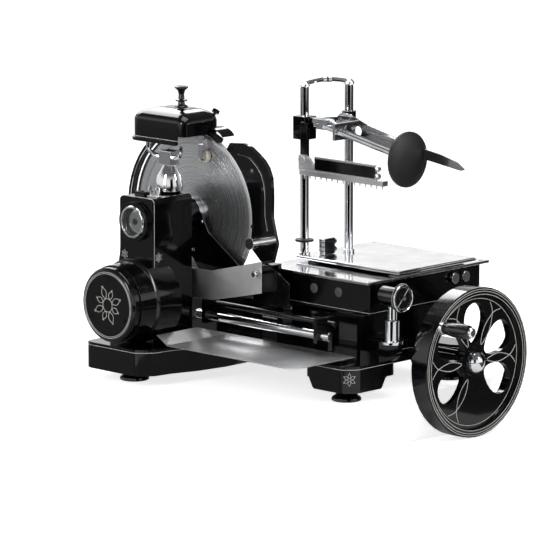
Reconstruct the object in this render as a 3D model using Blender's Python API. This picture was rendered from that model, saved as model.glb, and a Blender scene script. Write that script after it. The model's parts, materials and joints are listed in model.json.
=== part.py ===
"""Hand crank meat slicer, an assembly of separate pieces.

X points to the operator's right, Y away from the operator, Z up.
The feet stand on Z = 0. The blade turns about X over the point X = 0, Y = 0.
The flywheel hangs in front of the stand's edge, so its rim reaches below the feet.
"""
import math

import bmesh
import bpy
from mathutils import Matrix, Vector

MM = 0.001

# Clearances that many pieces share
GAP = 0.3 * MM
OVERRUN = 3 * MM
SEAT = 1.5 * MM

# Blade
BLADE_RADIUS = 150 * MM
BLADE_THICK = 4 * MM
BLADE_EDGE_THICK = 0.6 * MM
BLADE_BEVEL_WIDTH = 11 * MM
BLADE_AXIS_Z = 289 * MM
BLADE_SHAFT_RADIUS = 8 * MM
BLADE_HUB_RADIUS = 28 * MM
BLADE_HUB_LENGTH = 10 * MM
BLADE_NUT_RADIUS = 15 * MM
BLADE_NUT_LENGTH = 5 * MM

# Base casting
BASE_LEFT_X = -208 * MM
BASE_RIGHT_X = 275 * MM
BASE_FRONT_Y = -445 * MM
BASE_BACK_Y = 75 * MM
BASE_BOTTOM_Z = 20 * MM
BASE_TOP_Z = 68 * MM
BASE_WALL = 12 * MM
BASE_CORNER = 16 * MM
BODY_LEFT_X = 48 * MM
BODY_RIGHT_X = 250 * MM
BODY_FRONT_Y = -368 * MM
BODY_TOP_Z = 134 * MM
BASE_NECK_SHARE = 0.43
BASE_RECESS_SHARE = 0.138
BASE_OUTLINE_SHARES = (
    (0.0, 1.0), (0.0, 0.75), (0.05, 0.705), (0.13, 0.694), (0.24, 0.662), (0.42, 0.638),
    (BASE_NECK_SHARE, 0.60), (BASE_NECK_SHARE, 0.26), (0.302, 0.205), (0.302, 0.04), (0.345, 0.0),
    (0.545, 0.0), (0.562, 0.03), (0.59, BASE_RECESS_SHARE), (0.885, BASE_RECESS_SHARE), (0.895, 0.04),
    (0.92, 0.0), (0.975, 0.0), (1.0, 0.04), (1.0, 1.0),
)
BASE_NECK_X = BASE_LEFT_X + BASE_NECK_SHARE * (BASE_RIGHT_X - BASE_LEFT_X)
BASE_RECESS_Y = BASE_FRONT_Y + BASE_RECESS_SHARE * (BASE_BACK_Y - BASE_FRONT_Y)
HANGER_WIDTH = 40 * MM
HANGER_THICK = 12 * MM
HANGER_Y = -66 * MM

# Arches that lift the base's lower edge between the feet
SKIRT_RISE = 20 * MM
SKIRT_EASE = 16 * MM
SKIRT_MARGIN = 16 * MM

# Feet
FOOT_RADIUS = 27 * MM
FOOT_PROFILE_SHARES = ((0.0, 0.92), (0.08, 1.0), (0.3, 0.97), (0.55, 0.72), (0.8, 0.6), (1.0, 0.6))
FOOT_LEFT_X = -156 * MM
FOOT_FRONT_LEFT_X = -24 * MM
FOOT_RIGHT_X = 248 * MM
FOOT_FRONT_Y = -402 * MM
FOOT_BACK_Y = 48 * MM
FOOT_REAR_LEFT_Y = 0 * MM

# Blade column
COLUMN_LEFT_X = -150 * MM
COLUMN_RIGHT_X = -50 * MM
COLUMN_HALF_Y = 42 * MM
COLUMN_TOP_Z = 333 * MM
COLUMN_CORNER = 9 * MM
COLUMN_WALL = 8 * MM
COLUMN_FLARE_Y = 70 * MM
COLUMN_FLARE_Z = 158 * MM
COLUMN_WAIST_Z = 240 * MM

# Drive housing and its cover, turned about the drum axis
DRUM_AXIS_Z = 145 * MM
DRUM_BACK_X = -110 * MM
DRUM_STEP_X = -165 * MM
DRUM_FRONT_X = -205 * MM
DRUM_RADIUS = 72 * MM
DRUM_WALL = 5 * MM
DRUM_FLANGE_RADIUS = DRUM_AXIS_Z - BASE_TOP_Z - GAP
COVER_RADIUS = 68 * MM
COVER_FACE_RADIUS = 63 * MM
COVER_THICK = 16 * MM
COVER_BEAD = 1.5 * MM

# Oilers and plate on top of the column
OILER_PLATE_LEFT_X = -133 * MM
OILER_PLATE_FRONT_Y = -3 * MM
OILER_PLATE_WIDTH = 15 * MM
OILER_PLATE_DEPTH = 23 * MM
OILER_PLATE_HEIGHT = 7 * MM
OILER_X = -125 * MM
OILER_Y = -30 * MM
OILER_PITCH = 18 * MM
OILER_HEIGHT = 18 * MM
OILER_RADIUS = 4.5 * MM
OILER_SHARES = ((0.0, 0.6), (0.35, 0.6), (0.4, 1.0), (0.75, 1.0), (1.0, 0.5))

# Sight glass in the column
SIGHT_RADIUS = 36 * MM
SIGHT_LENGTH = 8 * MM
BEZEL_RADIUS = 29.5 * MM
BEZEL_WIDTH = 6 * MM
BEZEL_THICK = 4 * MM
GLASS_THICK = 3 * MM

# Cross shaft, drum shaft, gears and chain
CROSS_AXIS_Z = 52 * MM
SHAFT_RADIUS = 8 * MM
MITRE_LARGE_RADIUS = 30 * MM
MITRE_SMALL_RADIUS = 15 * MM
MITRE_LARGE_TEETH = 16
MITRE_SMALL_TEETH = 8
MITRE_FACE_SHARE = 0.36
MITRE_LARGE_ROOT_MODULE_SHARE = 1.6
PINION_TEETH = 12
WHEEL_TEETH = 24
GEAR_WIDTH = 10 * MM
GEAR_X = -134 * MM
GEAR_ROOT_SHARE = 0.22
GEAR_TIP_SHARE = 0.1
GEAR_TIP_MODULE_SHARE = 0.8
GEAR_ROOT_MODULE_SHARE = 1.0
GEAR_MODULE = 2 * (DRUM_AXIS_Z - CROSS_AXIS_Z) / (PINION_TEETH + WHEEL_TEETH)
PINION_TIP = GEAR_MODULE * (PINION_TEETH / 2 + GEAR_TIP_MODULE_SHARE)
SPROCKET_X = -119 * MM
SPROCKET_WIDTH = 5 * MM
SPROCKET_LARGE_TEETH = 18
SPROCKET_SMALL_TEETH = 6
SPROCKET_LARGE_RADIUS = 36 * MM
SPROCKET_SMALL_RADIUS = SPROCKET_LARGE_RADIUS * SPROCKET_SMALL_TEETH / SPROCKET_LARGE_TEETH
SPROCKET_TOOTH = 1.5 * MM
CHAIN_THICK = 4 * MM

# Bearing boss between the column and the blade
BOSS_RADIUS = 38 * MM
BOSS_FLANGE = 6 * MM
BOSS_NECK_SHARE = 0.72

# Guard ring round the back of the blade
GUARD_CLEARANCE = 2.5 * MM
GUARD_WIDTH = 8.5 * MM
GUARD_INNER_RADIUS = BLADE_RADIUS + GUARD_CLEARANCE
GUARD_OUTER_RADIUS = GUARD_INNER_RADIUS + GUARD_WIDTH
GUARD_DEPTH = 13 * MM
GUARD_FACE_X = -1 * MM
GUARD_START_DEG = 62
GUARD_END_DEG = 246
GUARD_BRACKET = 10 * MM

# Guide rods beside the carriage
ROD_RADIUS = 8.6 * MM
ROD_X = -24 * MM
ROD_Z = 108 * MM
ROD_BACK_Y = -32 * MM
ROD_FRONT_Y = -364 * MM
ROD_RISE = 21 * MM
ROD_UPPER_RADIUS = 5.5 * MM
ROD_UPPER_X = -12 * MM
ROD_BRACKET_THICK = 9 * MM
ROD_BRACKET_INSET = 26 * MM
ROD_BRACKET_RIGHT_X = 20 * MM
ROD_BRACKET_TOP_Z = ROD_Z + ROD_RISE + ROD_UPPER_RADIUS + ROD_BRACKET_THICK / 2

# Slice tray
TRAY_LEFT_X = -160 * MM
TRAY_RIGHT_X = -2 * MM
TRAY_BACK_Y = -88 * MM
TRAY_FRONT_Y = -402 * MM
TRAY_Z = 74 * MM
TRAY_THICK = 2 * MM
TRAY_RAMP_Y = -62 * MM
TRAY_RAMP_RIGHT_X = -60 * MM
TRAY_RAMP_RISE = 16 * MM
TRAY_CORNER = 26 * MM
TRAY_REST_X = -32 * MM
TRAY_REST_WIDTH = 14 * MM

# Catch plates, deflector and side plate near the blade
CATCH_THICK = 1.6 * MM
CATCH_FOLD_Y = -0.52 * BLADE_RADIUS
CATCH_FOLD_X = -34 * MM
CATCH_LEFT_Y = 0.0933 * BLADE_RADIUS
CATCH_LEFT_X = -44 * MM
CATCH_RIGHT_Y = -1.26 * BLADE_RADIUS
CATCH_RIGHT_X = -20 * MM
CATCH_LOW_Z = ROD_BRACKET_TOP_Z + GAP
CATCH_HIGH_Z = BLADE_AXIS_Z - 0.6333 * BLADE_RADIUS
CATCH_RIGHT_LOW_Z = BLADE_AXIS_Z - 0.8333 * BLADE_RADIUS
CATCH_RIGHT_HIGH_Z = BLADE_AXIS_Z - 0.4467 * BLADE_RADIUS
LEAF_X = -17 * MM
LEAF_THICK = 2.5 * MM
LEAF_CORNER = 14 * MM
LEAF_OUTLINE_SHARES = (
    (-0.16, -0.127), (-0.05, 0.02), (0.227, 0.05), (0.36, -0.20), (0.92, -0.573),
    (0.80, -0.73), (0.467, -0.913), (0.2, -0.68), (-0.06, -0.36),
)
SIDE_PLATE_THICK = 3 * MM
SIDE_PLATE_OUTLINE_SHARES = (
    (1.0, -0.993), (1.6, -0.993), (1.6, -0.70), (1.55, -0.673), (1.31, -0.52), (1.07, -0.52), (1.0, -0.58),
)
KNOB_Y = -1.207 * BLADE_RADIUS
KNOB_Z = BLADE_AXIS_Z - 0.6 * BLADE_RADIUS
KNOB_STEM_RADIUS = 3 * MM
KNOB_STEM_LENGTH = 5 * MM
KNOB_HEAD = 6 * MM
KNOB_HEAD_RADIUS = 6.5 * MM

# Gauge plate with its handle and slide
GAUGE_THICK = 7 * MM
GAUGE_OUTLINE_SHARES = (
    (0.645, 0.918), (0.88, 0.935), (1.0, 0.90), (1.114, 0.831), (1.21, 0.762), (1.282, 0.681),
    (1.333, 0.565), (1.345, 0.44), (1.348, 0.323), (1.345, 0.079), (1.39, -0.09), (1.432, -0.229),
    (1.36, -0.46), (1.20, -0.50), (0.968, -0.30),
)
GAUGE_ARC_START_DEG = 55
GAUGE_ARC_END_DEG = -17
GAUGE_HANDLE_RADIUS = 9 * MM
GAUGE_HANDLE_LENGTH = 60 * MM
GAUGE_HANDLE_CAP = 14 * MM
GAUGE_HANDLE_Y = -1.36 * BLADE_RADIUS
GAUGE_HANDLE_Z = BLADE_AXIS_Z - 0.18 * BLADE_RADIUS
GAUGE_PILLAR_LEFT_X = 2 * MM
GAUGE_PILLAR_WIDTH = 15 * MM
GAUGE_PILLAR_BACK_Y = -1.1333 * BLADE_RADIUS
GAUGE_PILLAR_FRONT_Y = -1.3733 * BLADE_RADIUS
GAUGE_PILLAR_TOP_Z = 196 * MM
GAUGE_FOOT_LIP = 2.2 * MM
GAUGE_FOOT_WIDTH = 8 * MM

# Thickness dial on its stem
DIAL_X = 46 * MM
DIAL_FACE_Y = -473 * MM
DIAL_Z = 183 * MM
DIAL_RADIUS = 25 * MM
DIAL_THICK = 6 * MM
DIAL_BARREL_RADIUS = 17 * MM
DIAL_BARREL_LENGTH = 40 * MM
DIAL_SCREW_RADIUS = 4.5 * MM
DIAL_SCREW_HEIGHT = 2.5 * MM
STEM_FLANGE_RADIUS = 20 * MM
STEM_FLANGE_THICK = 5 * MM
STEM_LOW_RADIUS = 12.5 * MM
STEM_HIGH_RADIUS = 8 * MM
STEM_STEP_Z = 140 * MM
STEM_FOOT_Z = 98 * MM
DIAL_BRACKET_THICK = 12 * MM
DIAL_BRACKET_LENGTH = 46 * MM

# Sharpener: bell, block and arms on the column, hood over the blade
BELL_RADIUS = 25 * MM
BELL_HEIGHT = 50 * MM
BELL_X = -66 * MM
BELL_PROFILE_SHARES = ((0.0, 0.8), (0.06, 0.98), (0.3, 1.0), (0.6, 0.9), (0.82, 0.62), (1.0, 0.44))
BLOCK_WIDTH = 24 * MM
BLOCK_DEPTH = 30 * MM
BLOCK_HEIGHT = 26 * MM
ARM_RADIUS = 4 * MM
ARM_REACH_Y = 42 * MM
HOOD_LEFT_X = -78 * MM
HOOD_RIGHT_X = 16 * MM
HOOD_FRONT_Y = -50 * MM
HOOD_BACK_Y = 86 * MM
HOOD_BOTTOM_Z = BLADE_AXIS_Z + 0.8867 * BLADE_RADIUS
HOOD_SHOULDER_Z = BLADE_AXIS_Z + 1.1533 * BLADE_RADIUS
HOOD_DOME = 22 * MM
HOOD_WALL = 3 * MM
HOOD_LIP = 4 * MM
HOOD_LIP_HEIGHT = 6 * MM
HOOD_CORNER = 18 * MM
HOOD_ROWS = 6
HOOD_CROWN_X = -22 * MM
HOOD_CROWN_Y = 12 * MM
HOOD_CROWN_Z = HOOD_SHOULDER_Z + HOOD_DOME * math.sin(math.pi / 2 * (HOOD_ROWS - 1) / HOOD_ROWS)
HOOD_DRAW_POWER = 0.8
HOOD_FRONT_LOW_Z = BLADE_AXIS_Z + 0.9933 * BLADE_RADIUS
HOOD_SLOT_LEFT_X = -17 * MM
HOOD_SLOT_RIGHT_X = 5 * MM
HOOD_SLOT_TOP_Z = BLADE_AXIS_Z + 1.0467 * BLADE_RADIUS
FINIAL_RADIUS = 13 * MM
FINIAL_HEIGHT = 38 * MM
FINIAL_SHARES = (
    (0.0, 0.95), (0.06, 0.85), (0.12, 0.5), (0.24, 0.45), (0.28, 0.85), (0.34, 0.85),
    (0.38, 0.45), (0.6, 0.4), (0.78, 0.55), (0.9, 0.95), (0.97, 1.0), (1.0, 0.8),
)
CARRIER_THICK = 4 * MM
STONE_RADIUS = 13 * MM
STONE_THICK = 7 * MM
STONE_SPINDLE_RADIUS = 3 * MM
STONE_CLEAR = 1.2 * MM
STONE_LEFT_Y = -0.2267 * BLADE_RADIUS
STONE_LEFT_Z = BLADE_AXIS_Z + 0.7133 * BLADE_RADIUS
STONE_RIGHT_Y = 0.2667 * BLADE_RADIUS
STONE_RIGHT_Z = BLADE_AXIS_Z + 0.92 * BLADE_RADIUS

# Flywheel, its shaft and its handle
FLYWHEEL_X = 195 * MM
FLYWHEEL_Z = 52 * MM
FLYWHEEL_RADIUS = 136 * MM
FLYWHEEL_FRONT_Y = -518 * MM
FLYWHEEL_RIM_DEPTH = 38 * MM
FLYWHEEL_RIM_WALL = 15 * MM
FLYWHEEL_WEB_THICK = 12 * MM
FLYWHEEL_WEB_SETBACK = 8 * MM
FLYWHEEL_HUB_RADIUS = 26 * MM
HUB_SETBACK = 4 * MM
PETAL_COUNT = 6
PETAL_FIRST_DEG = 30
PETAL_SOLID_DEG = 270
PETAL_START_RADIUS = 32 * MM
PETAL_END_RADIUS = 108 * MM
PETAL_HALF_WIDTH = 27 * MM
PETAL_STEPS = 5
HUB_CAP_RADIUS = 20 * MM
HUB_CAP_HEIGHT = 15 * MM
FRONT_BEARING_RADIUS = 22 * MM
FRONT_BEARING_NOSE = 16 * MM
GRIP_ANGLE_DEG = 141
GRIP_ORBIT = 121 * MM
GRIP_BOLT = 14 * MM
GRIP_LENGTH = 60 * MM
GRIP_RADIUS = 14 * MM
GRIP_PROFILE_SHARES = ((0.0, 0.6), (0.05, 0.75), (0.3, 0.92), (0.65, 1.0), (0.92, 0.9), (1.0, 0.6))
SPINDLE_RADIUS = 5 * MM
SPINDLE_COLLAR_RADIUS = 13 * MM
SPINDLE_COLLAR_LENGTH = 6 * MM
SPINDLE_CAP_RADIUS = 9 * MM
SPINDLE_CAP_LENGTH = 5 * MM

# Carriage
DECK_LEFT_X = 20 * MM
DECK_RIGHT_X = 345 * MM
DECK_FRONT_Y = -412 * MM
DECK_BACK_Y = -150 * MM
DECK_TOP_Z = 206 * MM
DECK_THICK = 5 * MM
CARRIAGE_LEFT_X = 29 * MM
CARRIAGE_RIGHT_X = 322 * MM
CARRIAGE_WALL = 7 * MM
CARRIAGE_BOTTOM_Z = 144 * MM
CARRIAGE_ROOF = 7 * MM
CARRIAGE_INSET = 3 * MM
WAY_WIDTH = 18 * MM
WAY_LEFT_X = 62 * MM
WAY_RIGHT_X = 218 * MM
WAY_TOP_Z = CARRIAGE_BOTTOM_Z - GAP
FRONT_KNOB_RADIUS = 10 * MM
FRONT_KNOB_THICK = 9 * MM
FRONT_KNOB_NECK_SHARE = 0.6
FRONT_KNOB_Z = 186 * MM
FRONT_KNOB_LEFT_X = 247 * MM
FRONT_KNOB_PITCH = 29 * MM

# Feed table and its screw
TABLE_LEFT_X = 97 * MM
TABLE_RIGHT_X = 302 * MM
TABLE_FRONT_Y = -416 * MM
TABLE_BACK_Y = -164 * MM
TABLE_TOP_Z = 217 * MM
TABLE_THICK = 7 * MM
TABLE_TRAVEL = 60 * MM
RUNNER_WIDTH = 24 * MM
RUNNER_INSET = 14 * MM
SCREW_RADIUS = 7 * MM
SCREW_Y = -300 * MM
SCREW_Z = 176 * MM
NUT_LENGTH = 26 * MM
NUT_DEPTH = 30 * MM
NUT_X = 190 * MM
SLOT_MARGIN = 6 * MM

# Posts of the press
POST_RADIUS = 8 * MM
POST_LEFT_X = 107 * MM
POST_LEFT_Y = -174 * MM
POST_STEP_X = 79 * MM
POST_STEP_Y = -36 * MM
POST_TOP_Z = 524 * MM
POST_FOOT_RADIUS = 11 * MM
POST_FOOT_HEIGHT = 5 * MM
CROSSBAR_RADIUS = 4 * MM
CROSSBAR_ARCH = 6 * MM
CAP_RADIUS = 10 * MM
CAP_HEIGHT = 12 * MM
CAP_SHARES = ((0.0, 0.8), (0.2, 1.0), (0.55, 0.95), (0.85, 0.6), (1.0, 0.0))
POST_COLLAR_RADIUS = 17 * MM
POST_COLLAR_THICK = 4 * MM
POST_COLLAR_Z = 242 * MM
CLAMP_X = 139 * MM
CLAMP_Y = -200 * MM
CLAMP_WIDTH = 30 * MM
CLAMP_DEPTH = 14 * MM
CLAMP_HEIGHT = 30 * MM

# Press head, toothed bar and lever
HEAD_LOW_Z = 430 * MM
HEAD_HEIGHT = 42 * MM
HEAD_HALF = 15 * MM
SLEEVE_RADIUS = 13 * MM
YOKE_Z = 462 * MM
YOKE_RADIUS = 5 * MM
BRACKET_THICK = 4 * MM
TOOTH_PIVOT_Y = -190 * MM
TOOTH_PIVOT_Z = 396 * MM
TOOTH_BAR_BACK_Y = -186 * MM
TOOTH_BAR_LENGTH = 205 * MM
TOOTH_BAR_TOP_Z = 378 * MM
TOOTH_BAR_HEIGHT = 9 * MM
TOOTH_BAR_WIDTH = 14 * MM
TOOTH_COUNT = 15
TOOTH_LENGTH = 11 * MM
TOOTH_RADIUS = 2.2 * MM
TONGUE_HALF = 6 * MM
HANGER_HALF = 9 * MM
PIVOT_PIN_RADIUS = 4 * MM
PIN_HEAD = 3 * MM
PIN_HEAD_SHARE = 1.8
PANEL_THICK = 3 * MM
PANEL_HEIGHT = 27 * MM
PANEL_BACK_Y = -222 * MM
PANEL_LENGTH = 150 * MM
LEVER_PIVOT_Y = -212 * MM
LEVER_PIVOT_Z = 462 * MM
LEVER_ROD_RADIUS = 4.5 * MM
LEVER_ROD_SPREAD = 7.5 * MM
LEVER_DROP = 43 * MM
LEVER_REACH = 222 * MM
LEVER_PLATE_X = 138 * MM
LEVER_PLATE_THICK = 3 * MM
LEVER_PLATE_REACH = 322 * MM
LEVER_PLATE_HEIGHT = 40 * MM
LEVER_PLATE_DROP = 54 * MM
LEVER_PLATE_SHARES = (
    (0.03, 0.10), (0.06, 0.55), (0.14, 0.62), (0.27, 0.42), (0.62, 0.27), (0.82, 0.30), (0.94, 0.22),
    (1.0, 0.0), (0.97, -0.10), (0.60, -0.20), (0.32, -0.32), (0.12, -0.36), (0.045, -0.25),
)
LEVER_HOLE_SHARE = 0.202
LEVER_SLOT_SHARES = (-0.3, 0.38)
STRAP_REACH = 50 * MM
STRAP_THICK = 6 * MM
STRAP_HALF = 15 * MM
YOKE_SLOT_SHARE = 1.6
LEVER_HOLE_RADIUS = 9 * MM
GUARD_DISC_RADIUS = 50 * MM
GUARD_DISC_THICK = 5 * MM
GUARD_DISC_DISH = 8 * MM
GUARD_DISC_SHARES = ((0.0, 0.0), (0.0, 0.3), (0.4, 0.8), (1.0, 1.0))
BALL_NUT_RADIUS = 6 * MM

# Segments round the turned pieces
FINE = 44
ROUND = 24
SMALL = 16
TINY = 8


def material(name, colour, roughness, metallic):
    """A plain surface of one colour."""
    paint = bpy.data.materials.new(name)
    paint.use_nodes = True
    shader = paint.node_tree.nodes["Principled BSDF"]
    shader.inputs["Base Color"].default_value = (*colour, 1)
    shader.inputs["Roughness"].default_value = roughness
    shader.inputs["Metallic"].default_value = metallic
    return paint


def clear_scene():
    for old in list(bpy.data.objects):
        bpy.data.objects.remove(old, do_unlink=True)


def finish(name, mesh, paint, at=(0, 0, 0), angle=35):
    """Turn a bmesh, drawn about the point at, into a named object there."""
    bmesh.ops.recalc_face_normals(mesh, faces=mesh.faces)
    data = bpy.data.meshes.new(name)
    mesh.to_mesh(data)
    mesh.free()
    data.shade_smooth()
    data.set_sharp_from_angle(angle=math.radians(angle))
    data.materials.append(paint)
    piece = bpy.data.objects.new(name, data)
    piece.location = at
    bpy.context.scene.collection.objects.link(piece)
    return piece


def bevel(piece, width, segments=2, angle=40):
    """Round the sharp edges of a piece."""
    edge = piece.modifiers.new("Bevel", "BEVEL")
    edge.width = width
    edge.segments = segments
    edge.limit_method = "ANGLE"
    edge.angle_limit = math.radians(angle)
    edge.use_clamp_overlap = True
    return piece


def combine(piece, mesh, operation, at=(0, 0, 0)):
    """Cut or join a second shape, which is kept as a hidden guide."""
    guide = finish(f"{piece.name}_{operation.lower()}", mesh, piece.data.materials[0], at)
    guide.hide_render = True
    guide.display_type = "WIRE"
    step = piece.modifiers.new(operation.title(), "BOOLEAN")
    step.operation = operation
    step.solver = "EXACT"
    step.object = guide
    return piece


def cut(piece, mesh, at=(0, 0, 0)):
    return combine(piece, mesh, "DIFFERENCE", at)


def join(piece, mesh, at=(0, 0, 0)):
    return combine(piece, mesh, "UNION", at)


def set_origin(item, at):
    """Put the item's origin at a point and leave its shape where it is."""
    item.data.transform(Matrix.Translation(-Vector(at)))
    item.location = at


def placed(axis, along, across, up):
    """A point from its distance along an axis and its two coordinates across it."""
    if axis == "X":
        return (along, across, up)
    if axis == "Y":
        return (across, along, up)
    return (across, up, along)


def revolve(mesh, profile, axis, centre=(0, 0, 0), segments=ROUND, closed=False):
    """Turn a profile of (distance along the axis, radius) about the axis."""
    rings = []
    for along, radius in profile:
        turns = 1 if radius == 0 else segments
        ring = []
        for k in range(turns):
            turn = math.tau * k / segments
            point = placed(axis, along, radius * math.cos(turn), radius * math.sin(turn))
            ring.append(mesh.verts.new(Vector(point) + Vector(centre)))
        rings.append(ring)
    pairs = list(zip(rings, rings[1:]))
    if closed:
        pairs.append((rings[-1], rings[0]))
    for low, high in pairs:
        bridge(mesh, low, high)
    if not closed:
        for ring in (rings[0], rings[-1]):
            if len(ring) > 1:
                mesh.faces.new(ring)
    return mesh


def bridge(mesh, low, high):
    """Faces between two rings, either of which may be a single point."""
    count = max(len(low), len(high))
    for k in range(count):
        near = (k + 1) % count
        if len(low) == 1:
            mesh.faces.new((low[0], high[near], high[k]))
        elif len(high) == 1:
            mesh.faces.new((low[k], low[near], high[0]))
        else:
            mesh.faces.new((low[k], low[near], high[near], high[k]))


def cylinder(mesh, axis, start, end, radius, centre=(0, 0, 0), segments=SMALL):
    return revolve(mesh, ((start, radius), (end, radius)), axis, centre, segments)


def tube(mesh, axis, start, end, outer, inner, centre=(0, 0, 0), segments=ROUND):
    profile = ((start, inner), (start, outer), (end, outer), (end, inner))
    return revolve(mesh, profile, axis, centre, segments, closed=True)


def ball(mesh, centre, radius, segments=TINY, rows=6):
    steps = [math.pi * k / rows for k in range(rows + 1)]
    profile = [(-radius * math.cos(s), radius * math.sin(s)) for s in steps]
    profile[0] = (-radius, 0)
    profile[-1] = (radius, 0)
    return revolve(mesh, profile, "Z", centre, segments)


def prism(mesh, outline, axis, start, end, scale=1):
    """A plate with the given outline across the axis. The far end may be scaled."""
    low = [mesh.verts.new(placed(axis, start, a, b)) for a, b in outline]
    high = [mesh.verts.new(placed(axis, end, a * scale, b * scale)) for a, b in outline]
    bridge(mesh, low, high)
    mesh.faces.new(low)
    mesh.faces.new(high)
    return mesh


def box(mesh, x_range, y_range, z_range):
    (left, right), (front, back), (low, high) = x_range, y_range, z_range
    outline = ((left, front), (right, front), (right, back), (left, back))
    return prism(mesh, outline, "Z", low, high)


def rounded(outline, radius, steps=3):
    """Round each corner of an outline with an arc that fits its sides."""
    result = []
    count = len(outline)
    for k, corner in enumerate(outline):
        here = Vector(corner)
        before = Vector(outline[k - 1]) - here
        after = Vector(outline[(k + 1) % count]) - here
        half = before.angle(after) / 2
        reach = min(radius / math.tan(half), before.length * 0.45, after.length * 0.45)
        first = here + before.normalized() * reach
        last = here + after.normalized() * reach
        for step in range(steps + 1):
            share = step / steps
            one = first.lerp(here, share)
            two = here.lerp(last, share)
            result.append(tuple(one.lerp(two, share)))
    return result


def sweep(mesh, points, radius, sides=TINY):
    """A round bar along a run of points, with flat ends."""
    path = [Vector(p) for p in points]
    rings = []
    normal = None
    for k, point in enumerate(path):
        ahead = path[min(k + 1, len(path) - 1)] - path[max(k - 1, 0)]
        ahead.normalize()
        if normal is None:
            normal = ahead.orthogonal().normalized()
        normal = (normal - ahead * normal.dot(ahead)).normalized()
        side = ahead.cross(normal)
        ring = []
        for turn in range(sides):
            angle = math.tau * turn / sides
            offset = normal * math.cos(angle) + side * math.sin(angle)
            ring.append(mesh.verts.new(point + offset * radius))
        rings.append(ring)
    for low, high in zip(rings, rings[1:]):
        bridge(mesh, low, high)
    mesh.faces.new(rings[0])
    mesh.faces.new(rings[-1])
    return mesh


def arc(radius, start_deg, end_deg, steps):
    """Points of an arc in the blade's plane, from the front (-Y) over the top."""
    points = []
    for k in range(steps + 1):
        turn = math.radians(start_deg + (end_deg - start_deg) * k / steps)
        points.append((-radius * math.cos(turn), radius * math.sin(turn)))
    return points


def blade_plane(shares, unit=BLADE_RADIUS):
    """An outline written in shares of the blade's radius, forwards and up."""
    return [(-forward * unit, up * unit) for forward, up in shares]


def gear(mesh, axis, start, end, teeth, root, tip, bore, phase=0, scale=1):
    """A toothed wheel with a bore. The far end may be scaled for a bevel gear."""
    outline = []
    inner = []
    pitch = math.tau / teeth
    for tooth in range(teeth):
        for share, radius in (
            (-GEAR_ROOT_SHARE, root),
            (-GEAR_TIP_SHARE, tip),
            (GEAR_TIP_SHARE, tip),
            (GEAR_ROOT_SHARE, root),
        ):
            angle = (tooth + 0.5 + share + phase) * pitch
            outline.append((radius * math.cos(angle), radius * math.sin(angle)))
            inner.append((bore * math.cos(angle), bore * math.sin(angle)))
    rings = []
    loops = ((start, outline, 1), (end, outline, scale), (end, inner, 1), (start, inner, 1))
    for along, ring, factor in loops:
        rings.append([mesh.verts.new(placed(axis, along, a * factor, b * factor)) for a, b in ring])
    for low, high in zip(rings, rings[1:] + rings[:1]):
        bridge(mesh, low, high)
    return mesh


clear_scene()

# Surfaces
BLACK = material("black_enamel", (0.006, 0.006, 0.007), 0.12, 0.0)
STEEL = material("polished_steel", (0.78, 0.78, 0.79), 0.08, 1.0)
CHROME = material("chrome", (0.86, 0.87, 0.88), 0.05, 1.0)
IRON = material("machined_iron", (0.35, 0.35, 0.36), 0.35, 1.0)
DARK_STEEL = material("dark_polished_steel", (0.12, 0.12, 0.13), 0.15, 1.0)
GLASS = material("sight_glass", (0.55, 0.58, 0.6), 0.05, 0.0)
STONE = material("grinding_stone", (0.85, 0.84, 0.8), 0.8, 0.0)
GRIP = material("black_grip", (0.01, 0.01, 0.011), 0.25, 0.0)
RUBBER = material("black_guard", (0.015, 0.015, 0.016), 0.55, 0.0)


def base_outline():
    width = BASE_RIGHT_X - BASE_LEFT_X
    depth = BASE_BACK_Y - BASE_FRONT_Y
    points = [(BASE_LEFT_X + a * width, BASE_FRONT_Y + b * depth) for a, b in BASE_OUTLINE_SHARES]
    return rounded(points, BASE_CORNER, 2)


def make_base():
    base = finish("base_casting", prism(bmesh.new(), base_outline(), "Z", BASE_BOTTOM_Z, BASE_TOP_Z), BLACK)
    lift_skirt(base)
    back = BASE_BACK_Y - BASE_CORNER
    root = BASE_TOP_Z - OVERRUN
    join(base, box(bmesh.new(), (BODY_LEFT_X, BODY_RIGHT_X), (BODY_FRONT_Y, back), (root, BODY_TOP_Z)))
    inside = (BODY_LEFT_X + BASE_WALL, BODY_RIGHT_X - BASE_WALL)
    roof = BODY_TOP_Z - BASE_WALL
    depth = (BODY_FRONT_Y + BASE_WALL, back - BASE_WALL)
    cut(base, box(bmesh.new(), inside, depth, (BASE_BOTTOM_Z - OVERRUN, roof)))
    join(base, base_fittings(roof))
    holes = bmesh.new()
    cylinder(holes, "Y", ROD_FRONT_Y, ROD_BACK_Y, ROD_RADIUS + GAP, (ROD_X, 0, ROD_Z))
    centre = (ROD_UPPER_X, 0, ROD_Z + ROD_RISE)
    cylinder(holes, "Y", ROD_FRONT_Y, ROD_BACK_Y, ROD_UPPER_RADIUS + GAP, centre)
    cut(base, holes)
    join(base, dial_bracket())
    bore = SHAFT_RADIUS + GAP
    at = (FLYWHEEL_X, 0, FLYWHEEL_Z)
    join(base, flywheel_bearing(at))
    front = FLYWHEEL_FRONT_Y
    back = HANGER_Y + HANGER_THICK + OVERRUN
    cut(base, cylinder(bmesh.new(), "Y", front, back, bore, at))
    left = GEAR_X - SEAT * 2
    right = BODY_LEFT_X + BASE_WALL + OVERRUN
    cut(base, cylinder(bmesh.new(), "X", left, right, bore, (0, 0, CROSS_AXIS_Z)))
    pocket = (left, GEAR_X + GEAR_WIDTH + SEAT * 2)
    half = PINION_TIP + SEAT
    cut(base, box(bmesh.new(), pocket, (-half, half), (0, BASE_TOP_Z + OVERRUN)))


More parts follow.
